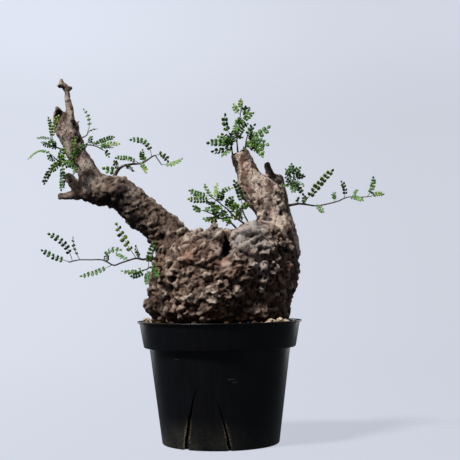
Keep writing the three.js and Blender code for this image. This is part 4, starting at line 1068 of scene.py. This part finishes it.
shoots = [
    {
        "name": "shoot_leader_left_upper",
        "twig": [[-137, -9, 267], [-146, -12, 270], [-149, -15, 273], [-151, -17, 278]],
        "radii": [1.2, 0.8],
        "leaves": [
            [1, [-152.5, -20, 297], -1, 25, 2, 3.8],
            [0.8, [-142.5, -24, 298], 2, -30, 2, 3.8],
            [0.9, [-164, -12, 279], -1, 40, 2, 3.8],
            [0.66, [-157.5, -30, 272], 1, 24, 1, 4],
        ],
    },
    {
        "name": "shoot_leader_left_lower",
        "twig": [[-130, -12, 256], [-139.5, -20, 256], [-144, -24, 257], [-147, -26, 260]],
        "radii": [1.3, 0.8],
        "leaves": [
            [1, [-172, -16, 260], -6, 35, 3, 4],
            [0.72, [-158, -17, 236], -2, -20, 3, 4.4],
            [0.9, [-150, -42, 259], 1, 30, 1, 4.2],
            [0.6, [-140, -26, 229], 1, 15, 2, 4],
            [0.8, [-148, -37, 245], 1, -35, 1, 4.2],
            [0.66, [-136, -33, 267], 1, 10, 1, 4.2],
        ],
    },
    {
        "name": "shoot_leader_front",
        "twig": [[-125.5, -13, 253], [-128, -24, 254], [-128.5, -29, 257]],
        "radii": [1.1, 0.8],
        "leaves": [
            [0.85, [-117, -27, 272], 2, 20, 3, 3.8],
            [1, [-127, -33, 277], 1, -25, 2, 4],
            [0.92, [-137, -41, 250], 1, 15, 1, 4.2],
        ],
    },
    {
        "name": "shoot_leader_right_upright",
        "twig": [[-128, -10, 277], [-119.5, -10, 281], [-118, -10, 285]],
        "radii": [1, 0.7],
        "leaves": [
            [1, [-122, -8, 306], -3, 20, 3, 3.6],
            [0.85, [-109, -14, 287], 1, 50, 1, 3.4],
        ],
    },
    {
        "name": "shoot_leader_right_spray",
        "twig": [[-128, -6, 272.5], [-117.5, -8, 272.5], [-111, -11, 271], [-104, -13, 267]],
        "radii": [1.1, 0.7],
        "leaves": [
            [0.55, [-94, -7, 280], 1, 25, 3, 3.6],
            [0.7, [-88.5, -14, 272.5], 1, -35, 3, 3.8],
            [0.88, [-94, -22, 269], 1, 30, 1, 3.8],
            [0.45, [-113, -20, 279], 1, 20, 1, 3.6],
            [1, [-98, -13, 260.5], 1, 10, 1, 3.8],
        ],
    },
    {
        "name": "shoot_left_arm_long",
        "twig": [[-97, -5, 238], [-92.5, -5, 248], [-87, -5, 253], [-79, -7, 254.5], [-71, -8, 255],
            [-66, -8, 257], [-58, -9, 262], [-55, -10, 259], [-51, -12, 253]],
        "radii": [2.2, 0.7],
        "leaves": [
            [0.76, [-79, -16, 277], -6, 20, 4, 4],
            [0.56, [-93, -14, 260], -2, 40, 3, 3.4],
            [0.7, [-71, 2, 264], 1, 15, 1, 3.6],
            [0.62, [-68, -17, 267], 1, -20, 1, 3.4],
            [0.82, [-44.5, -4, 257.5], 3, 25, 1, 4],
            [1, [-31.5, -16, 257.5], -2, -30, 3, 4],
            [0.52, [-64, -14, 246], 2, 20, 1, 3.8],
            [0.2, [-105, -8, 250.5], 1, -20, 1, 5],
            [0.26, [-94.5, -18, 256], 1, 15, 1, 4.8],
            [0.3, [-75.5, -15, 248], 1, 30, 1, 3.8],
        ],
    },
    {
        "name": "shoot_caudex_left_long",
        "twig": [[-53, -17, 168], [-64, -23.5, 167.5], [-68, -26, 167], [-74, -28, 168], [-81, -30, 166],
            [-87, -32, 164], [-93, -34, 162], [-99, -35, 165], [-104, -36, 167], [-113, -38, 167],
            [-123, -40, 167], [-132, -42, 165]],
        "radii": [1.4, 0.7],
        "leaves": [
            [0.27, [-91, -38, 199.5], 1, 10, 4, 5],
            [0.34, [-93, -20, 173], 1, 70, 1, 3.6],
            [0.22, [-74, -38, 179], 1, 30, 1, 3.4],
            [0.64, [-85.5, -46, 176], 4, -25, 3, 3.8],
            [0.54, [-123, -33, 152], 1, 20, 3, 3.8],
            [0.88, [-129, -40, 187.5], 1.5, 35, 2, 3.6],
            [1, [-155.5, -46, 176], 1, -20, 4, 3.8],
            [0.96, [-147.5, -54, 190.5], -4, 25, 3, 4],
            [0.58, [-98, -47, 172], 1, 0, 1, 3.2],
        ],
    },
    {
        "name": "shoot_caudex_left_tuft",
        "twig": [[-48, -24, 161], [-60, -34.5, 160], [-64, -37, 158], [-68, -39, 157]],
        "radii": [1.3, 0.8],
        "leaves": [
            [1, [-86, -42, 156], 1, 30, 3, 3.6],
            [0.9, [-77, -50, 151.5], 1, -20, 1, 4],
            [0.7, [-52, -49, 152], 1, 15, 2, 4],
            [0.74, [-57, -41, 182], 1, -15, 3, 4],
            [0.82, [-63, -48, 145], 1, 20, 1, 4],
        ],
    },
    {
        "name": "shoot_crown_middle",
        "twig": [[19, 2, 260], [18.3, 2, 270], [18, 1, 278], [20, 0, 288], [21, 0, 297], [22, 0, 305]],
        "radii": [1.2, 0.6],
        "leaves": [
            [1, [22, 0, 315], 0.5, 10, 1, 3.2],
            [0.94, [30, -4, 307], 2, 30, 1, 3.4],
            [0.9, [14.5, 3, 311], 1, -20, 1, 3.4],
            [0.66, [33.5, -4, 301.5], 1, 25, 2, 3.6],
            [0.55, [28.5, 6, 293], 1, -10, 1, 3.4],
            [0.3, [15.5, -16, 283], 1, 20, 1, 4.2],
            [0.36, [24, -14, 288], 1, -20, 1, 4.2],
            [0.46, [17, 14, 293], 1, 10, 1, 4],
        ],
    },
    {
        "name": "shoot_crown_left",
        "twig": [[14, 0, 260], [13, -1, 270], [12.5, -3, 281]],
        "radii": [1.2, 0.8],
        "leaves": [
            [1, [6, -5, 300.5], 2, 10, 3, 5],
            [0.55, [-9.5, -4, 274], -1, 30, 3, 4],
            [0.5, [-5.5, -12, 264.5], 1, -25, 2, 4.2],
            [0.7, [0, 9, 281], 1, 15, 1, 4.2],
            [0.55, [4, -16, 259], 1, 20, 1, 3.8],
            [0.82, [4, -16, 280], 1, -20, 1, 4.2],
        ],
    },
    {
        "name": "shoot_crown_right",
        "twig": [[25.5, 2, 260], [25.8, 1, 271], [26.5, 1, 276], [28, 2, 282]],
        "radii": [1.2, 0.8],
        "leaves": [
            [1, [34.5, 3, 292], 1, 30, 2, 3.4],
            [0.84, [49, -2, 288], -2, -15, 3, 5],
            [0.66, [46.5, -9, 271], 1, 20, 3, 4.4],
            [0.6, [43, 7, 264], 3, -25, 1, 4.6],
            [0.62, [42, -17, 259], 4, 30, 1, 4],
            [0.9, [38, 14, 282], 1, 10, 1, 4.4],
        ],
    },
    {
        "name": "shoot_shoulder_back",
        "twig": [[31, 7, 194], [20.5, 4.5, 202], [13, 1, 207.5], [8, -2, 213], [4, -4, 216],
            [-1, -6, 220], [-8, -8, 225]],
        "radii": [1.3, 0.7],
        "leaves": [
            [1, [-27, -10, 229.5], 1, 25, 3, 4],
            [0.92, [-27.5, -18, 221], 1, -30, 3, 4],
            [0.88, [-13, -2, 236], 1, 20, 1, 3.8],
            [0.8, [13, -9, 232.5], 4, 30, 3, 3.2],
            [0.84, [-1, 1, 237], 1, -15, 1, 3.8],
            [0.64, [0, 1, 205.5], 1, 20, 1, 3.4],
            [0.6, [13, -18, 223], 1, -20, 1, 4.6],
            [0.76, [4, -21, 228], 1, 15, 1, 4.6],
            [0.7, [-9, -14, 213], 1, 10, 1, 4],
            [0.55, [14, 13, 222], 1, 20, 2, 4],
            [0.85, [-11, 8, 219], 1, -25, 1, 4.2],
        ],
    },
    {
        "name": "shoot_shoulder_low",
        "twig": [[22, 12, 189], [12.2, 8, 200], [4, -2, 203.5], [-2, -8, 206], [-7, -12, 208.5], [-14, -16, 211]],
        "radii": [1.3, 0.7],
        "leaves": [
            [1, [-23.5, -19, 214.5], 1, 20, 2, 3.4],
            [0.66, [-9, -12, 202], 1, -25, 1, 4],
            [0.45, [8, -14, 207.5], 1, 15, 1, 4.4],
            [0.55, [8, -23, 200], 1, -15, 2, 4.2],
            [0.75, [0, -26, 211], 1, 25, 1, 4.4],
            [0.6, [-14, 3, 204], 1, 10, 1, 4],
        ],
    },
    {
        "name": "shoot_shoulder_front",
        "twig": [[32, -3, 192], [25.8, -3.5, 203], [23, -6, 209], [21.5, -9, 215]],
        "radii": [1.2, 0.8],
        "leaves": [
            [1, [14.5, -17, 238], -1.5, 20, 3, 3.8],
            [0.92, [10.5, 4, 219], 1, -20, 1, 4.2],
            [0.95, [12, -19, 214.5], 1, 15, 1, 4.2],
            [0.7, [12, -13, 206], 1, -15, 1, 4.6],
            [0.8, [26.5, -28, 217], 1, 25, 2, 4.2],
        ],
    },
    {
        "name": "shoot_fork_right_tuft",
        "twig": [[56, 0, 232], [66.5, -3, 235.5], [69, -4, 239], [69.5, -5, 243]],
        "radii": [1.3, 0.8],
        "leaves": [
            [1, [67, -5, 254], 1, 20, 1, 3.6],
            [0.9, [75, -12, 250], 1, -30, 1, 4],
            [0.84, [80.5, 2, 243], 1, 25, 2, 3.8],
            [0.7, [78, -14, 232], 1, -20, 2, 3.8],
            [0.62, [79, -2, 225], 1, 15, 2, 4],
            [0.66, [67, -19, 226], 1, 10, 1, 4.2],
            [0.74, [75, 12, 231], 1, -15, 1, 4.2],
            [0.78, [61, -18, 243], 1, 20, 1, 4],
        ],
    },
    {
        "name": "shoot_right_long",
        "twig": [[58, 5, 214.5], [72, 3, 217], [77, 2, 217], [83, 1, 216], [90, 0, 215], [98, -2, 216],
            [109, -4, 218.5], [115, -5, 221], [120, -6, 222.3], [128, -7, 222], [134, -8, 222], [140, -9, 222.5]],
        "radii": [1.4, 0.6],
        "leaves": [
            [0.25, [105.5, -8, 248], 1, 12, 4, 5.2],
            [0.2, [72, -10, 222], 1, 20, 1, 3.8],
            [0.28, [80.5, 11, 225], 1, -20, 1, 3.8],
            [0.36, [96, -12, 208.5], 1, 30, 1, 3.4],
            [0.74, [131.5, -18, 218], 1, -40, 2, 3.2],
            [0.7, [112.5, -11, 237], -2, 20, 2, 3.4],
            [1, [151, -12, 224.5], 1, 30, 1, 3],
            [0.95, [142, -13, 240], -2, -15, 2, 3.4],
            [0.6, [108, 7, 228], 1, 25, 1, 3.8],
            [0.84, [128, 6, 230], 1, -20, 1, 3.4],
        ],
    },
]

leaf = {
    "twigShare": 0.62, "rib": (0.34, 0.2), "stalk": 0.2,
    "slant": 60, "slantSpread": 12, "tiltSpread": 24, "turnSpread": 34,
    "width": 0.86, "thickness": 0.2, "fold": 0.1, "pairsPerLength": 0.8,
    # How many small leaves are added to each of the dense shoots, and how long they are
    "extra": {
        "shoot_leader_left_upper": 5, "shoot_leader_left_lower": 6, "shoot_leader_front": 4,
        "shoot_leader_right_spray": 2, "shoot_caudex_left_tuft": 3, "shoot_crown_middle": 6,
        "shoot_crown_left": 7, "shoot_crown_right": 7, "shoot_shoulder_back": 4, "shoot_shoulder_low": 4,
        "shoot_shoulder_front": 4, "shoot_fork_right_tuft": 5,
    },
    "extraLength": (6, 12),
    # Pairs of leaflets on the sparse shoots, as pairsPerLength
    "sparse": {"shoot_leader_right_upright": 0.4, "shoot_caudex_left_long": 0.62},
    # The leaflets' size on some shoots as a share of the solids' leaflets, and how light their green is
    "fineness": {
        "shoot_leader_left_upper": 0.72, "shoot_leader_left_lower": 0.76, "shoot_leader_front": 0.76,
        "shoot_leader_right_upright": 0.6, "shoot_leader_right_spray": 0.68, "shoot_left_arm_long": 0.76,
        "shoot_caudex_left_long": 0.8, "shoot_crown_left": 0.95, "shoot_crown_right": 0.98,
        "shoot_shoulder_back": 0.8, "shoot_right_long": 0.84,
    },
    "tones": {
        "shoot_caudex_left_tuft": (0.02, 0.3), "shoot_leader_front": (0.05, 0.4), "shoot_fork_right_tuft": (0.05, 0.4),
        "shoot_crown_middle": (0.25, 0.65), "shoot_crown_left": (0.15, 0.6), "shoot_crown_right": (0.15, 0.65),
        "shoot_right_long": (0.2, 0.8), "shoot_leader_right_spray": (0.3, 0.8),
    },
    "seed": 3,
}


def smoothLine(points, spans=6):
    # A smooth line through the points
    ends = [points[0] * 2 - points[1]] + list(points) + [points[-1] * 2 - points[-2]]
    line = []
    for a, b, c, d in zip(ends, ends[1:], ends[2:], ends[3:]):
        for k in range(spans):
            t = k / spans
            line.append(0.5 * (2 * b + (c - a) * t + (2 * a - 5 * b + 4 * c - d) * t * t
                               + (3 * b - a - 3 * c + d) * t ** 3))
    return line + [points[-1]]


def pointAlong(line, share):
    lengths = [0]
    for a, b in zip(line, line[1:]):
        lengths.append(lengths[-1] + (b - a).length)
    target = share * lengths[-1]
    for a, b, start, end in zip(line, line[1:], lengths, lengths[1:]):
        if end >= target:
            return a.lerp(b, (target - start) / max(end - start, 1e-9))
    return line[-1]


def leafletShape():
    # One leaflet of unit length from its foot at the origin along +X, folded a little along its middle
    bm = bmesh.new()
    bmesh.ops.create_grid(bm, x_segments=5, y_segments=2, size=0.5)
    widths = [0.1, 0.66, 0.95, 1.0, 0.8, 0.24]
    for v in bm.verts:
        along = round((v.co.x + 0.5) * 5)
        side = round(v.co.y * 2)
        v.co.y = side * 0.5 * widths[along]
        v.co.x = along / 5 + (0 if side else 0.06 * (along == 5) - 0.06 * (along == 0))
        v.co.z = leaf["fold"] * abs(side) * widths[along] - 0.22 * (v.co.x - 0.5) ** 2
    bmesh.ops.solidify(bm, geom=bm.faces, thickness=-leaf["thickness"] / 4.5)
    bmesh.ops.recalc_face_normals(bm, faces=bm.faces)
    return meshOf(bm, "leaflet_shape")


def addLeaf(bm, shape, toneLayer, root, plan, fineness, density, tones, pick):
    # Returns the leaf's rib as a rod, and adds its leaflets
    _, tip, bow, turn, pairs, size = plan
    size *= fineness
    tip = Vector(tip)
    tip = root.lerp(tip, max(0.6, 1 - 0.62 * size / (tip - root).length))  # room for the end leaflet
    chord = tip - root
    middle = (root + tip) / 2 + Vector((-chord.z, 0, chord.x)).normalized() * 2 * bow
    rib = [root * (1 - t) ** 2 + middle * 2 * t * (1 - t) + tip * t * t for t in [k / 10 for k in range(11)]]
    length = chord.length
    turn = math.radians(turn + pick.uniform(-1, 1) * leaf["turnSpread"])
    facing = Matrix.Rotation(turn, 3, chord.normalized()) @ Vector((0, -1, 0))
    pairs = max(pairs, round(density * length / size)) if size < 4.8 else pairs
    stalk = leaf["stalk"] if pairs > 1 else 0.3
    leafTone = pick.uniform(*tones)
    places = []
    for k in range(pairs):
        share = stalk + (k + 0.5) * (1 - stalk) / (pairs + 0.35)
        scale = size * (0.82 + 0.24 * math.sin(math.pi * (k + 1) / (pairs + 1)))
        places += [(share, 1, scale), (share + 0.01, -1, scale)]
    places.append((0.985, 0, size * 0.86))
    for share, side, scale in places:
        place = pointAlong(rib, share)
        tangent = (pointAlong(rib, min(1, share + 0.05)) - pointAlong(rib, share - 0.05)).normalized()
        normal = (facing - tangent * facing.dot(tangent)).normalized()
        across = normal.cross(tangent)
        slant = math.radians(leaf["slant"] + pick.uniform(-1, 1) * leaf["slantSpread"]) * side
        x = tangent * math.cos(slant) + across * math.sin(slant)
        tilt = math.radians(pick.uniform(-1, 1) * leaf["tiltSpread"])
        z = Matrix.Rotation(tilt, 3, x) @ (normal - x * normal.dot(x)).normalized()
        y = z.cross(x)
        scale *= pick.uniform(0.88, 1.1)
        basis = Matrix((x * scale, y * scale * leaf["width"], z * 4.5)).transposed().to_4x4()
        before = len(bm.verts)
        bm.from_mesh(shape)
        bm.verts.ensure_lookup_table()
        added = bm.verts[before:]
        bmesh.ops.transform(bm, matrix=Matrix.Translation(place * mm) @ basis @ Matrix.Scale(mm, 4), verts=added)
        tone = min(1, max(0, leafTone + pick.uniform(-0.14, 0.14) + 0.18 * share))
        for v in added:
            v[toneLayer] = tone
    first, last = leaf["rib"]
    return rib, [first + (last - first) * k / 10 for k in range(11)]


def extraLeaves(plan, line, pick):
    # Small leaves between the shoot's own, each leaning away from one of them
    added = []
    for _ in range(leaf["extra"].get(plan["name"], 0)):
        place = pick.uniform(0.35, 1)
        root = pointAlong(line, min(place, 0.985))
        away = (Vector(pick.choice(plan["leaves"])[1]) - root).normalized()
        away += Vector((pick.gauss(0, 0.5), pick.gauss(0, 0.5), pick.gauss(0.1, 0.5)))
        tip = root + away.normalized() * pick.uniform(*leaf["extraLength"])
        added.append([place, tip, 1, pick.uniform(-40, 40), 1, pick.uniform(3, 3.8)])
    return added


def makeShoot(plan, shape, pick):
    bm = bmesh.new()
    toneLayer = bm.verts.layers.float.new("tone")
    woodLayer = bm.verts.layers.float.new("woody")
    line = smoothLine([Vector(p) for p in plan["twig"]])
    count = len(line)
    first, last = plan["radii"]
    radii = []
    for k, place in enumerate(line):
        share = k / (count - 1)
        flare = 1 + 0.5 * math.exp(-((share / 0.16) ** 2))
        knuckle = 1 + 0.22 * max(0, noise.noise(place / 2.6))
        radii.append((first + (last - first) * share) * leaf["twigShare"] * flare * knuckle)
    leaves = plan["leaves"] + extraLeaves(plan, line, pick)
    fineness = leaf["fineness"].get(plan["name"], 0.85)
    density = leaf["sparse"].get(plan["name"], leaf["pairsPerLength"])
    tones = leaf["tones"].get(plan["name"], (0.15, 0.75))
    ribs = [
        addLeaf(bm, shape, toneLayer, pointAlong(line, min(one[0], 0.985)), one, fineness, density, tones, pick)
        for one in leaves
    ]
    for v in bm.verts:
        v[woodLayer] = 0
    before = len(bm.verts)
    bm.from_mesh(rodMesh("ribs", ribs, 1))
    bm.verts.ensure_lookup_table()
    for v in bm.verts[before:]:
        v[toneLayer] = 0.45
        v[woodLayer] = 0.35
    before = len(bm.verts)
    bm.from_mesh(rodMesh("twig", [(line, radii)], 2))
    bm.verts.ensure_lookup_table()
    for v in bm.verts[before:]:
        share = min(range(count), key=lambda k: (line[k] * mm - v.co).length_squared) / (count - 1)
        v[toneLayer] = 0.3
        v[woodLayer] = 1 - 0.45 * share ** 2
    obj = keepObject(plan["name"] + "_leaves", meshOf(bm, plan["name"] + "_leaves"))
    smoothShaded(obj.data)
    obj.data.materials.append(foliage)
    finishPiece(obj, "foliage", plan["name"])


def foliageMaterial():
    material, tree, surface = newMaterial("foliage")
    place = objectPlace(tree)
    tone = attribute(tree, "tone")
    woody = attribute(tree, "woody")
    mottle = grain(tree, place, 420, 3, 0.6)
    green = mix(tree, spread(tree, tone, 0.05, 0.65), screen(44, 78, 34), screen(104, 148, 58))
    green = mix(tree, spread(tree, tone, 0.6, 1.0), green, screen(168, 190, 84))
    green = mix(tree, spread(tree, mottle, 0.35, 0.7, 0.25, 0.0), green, screen(30, 54, 22))
    twig = mix(tree, grain(tree, place, 300, 4, 0.7), screen(38, 27, 22), screen(96, 80, 68))
    colour = mix(tree, spread(tree, woody, 0.4, 0.62), green, twig)
    tree.links.new(colour, surface.inputs["Base Color"])
    surface.inputs["Roughness"].default_value = 0.42
    surface.inputs["Specular IOR Level"].default_value = 0.4
    tree.links.new(bumped(tree, mottle, 0.2, 0.0003), surface.inputs["Normal"])
    return material


foliage = foliageMaterial()
leafletMesh = leafletShape()
leafPick = random.Random(leaf["seed"])
for shootPlan in shoots:
    makeShoot(shootPlan, leafletMesh, leafPick)
print("shoots done")
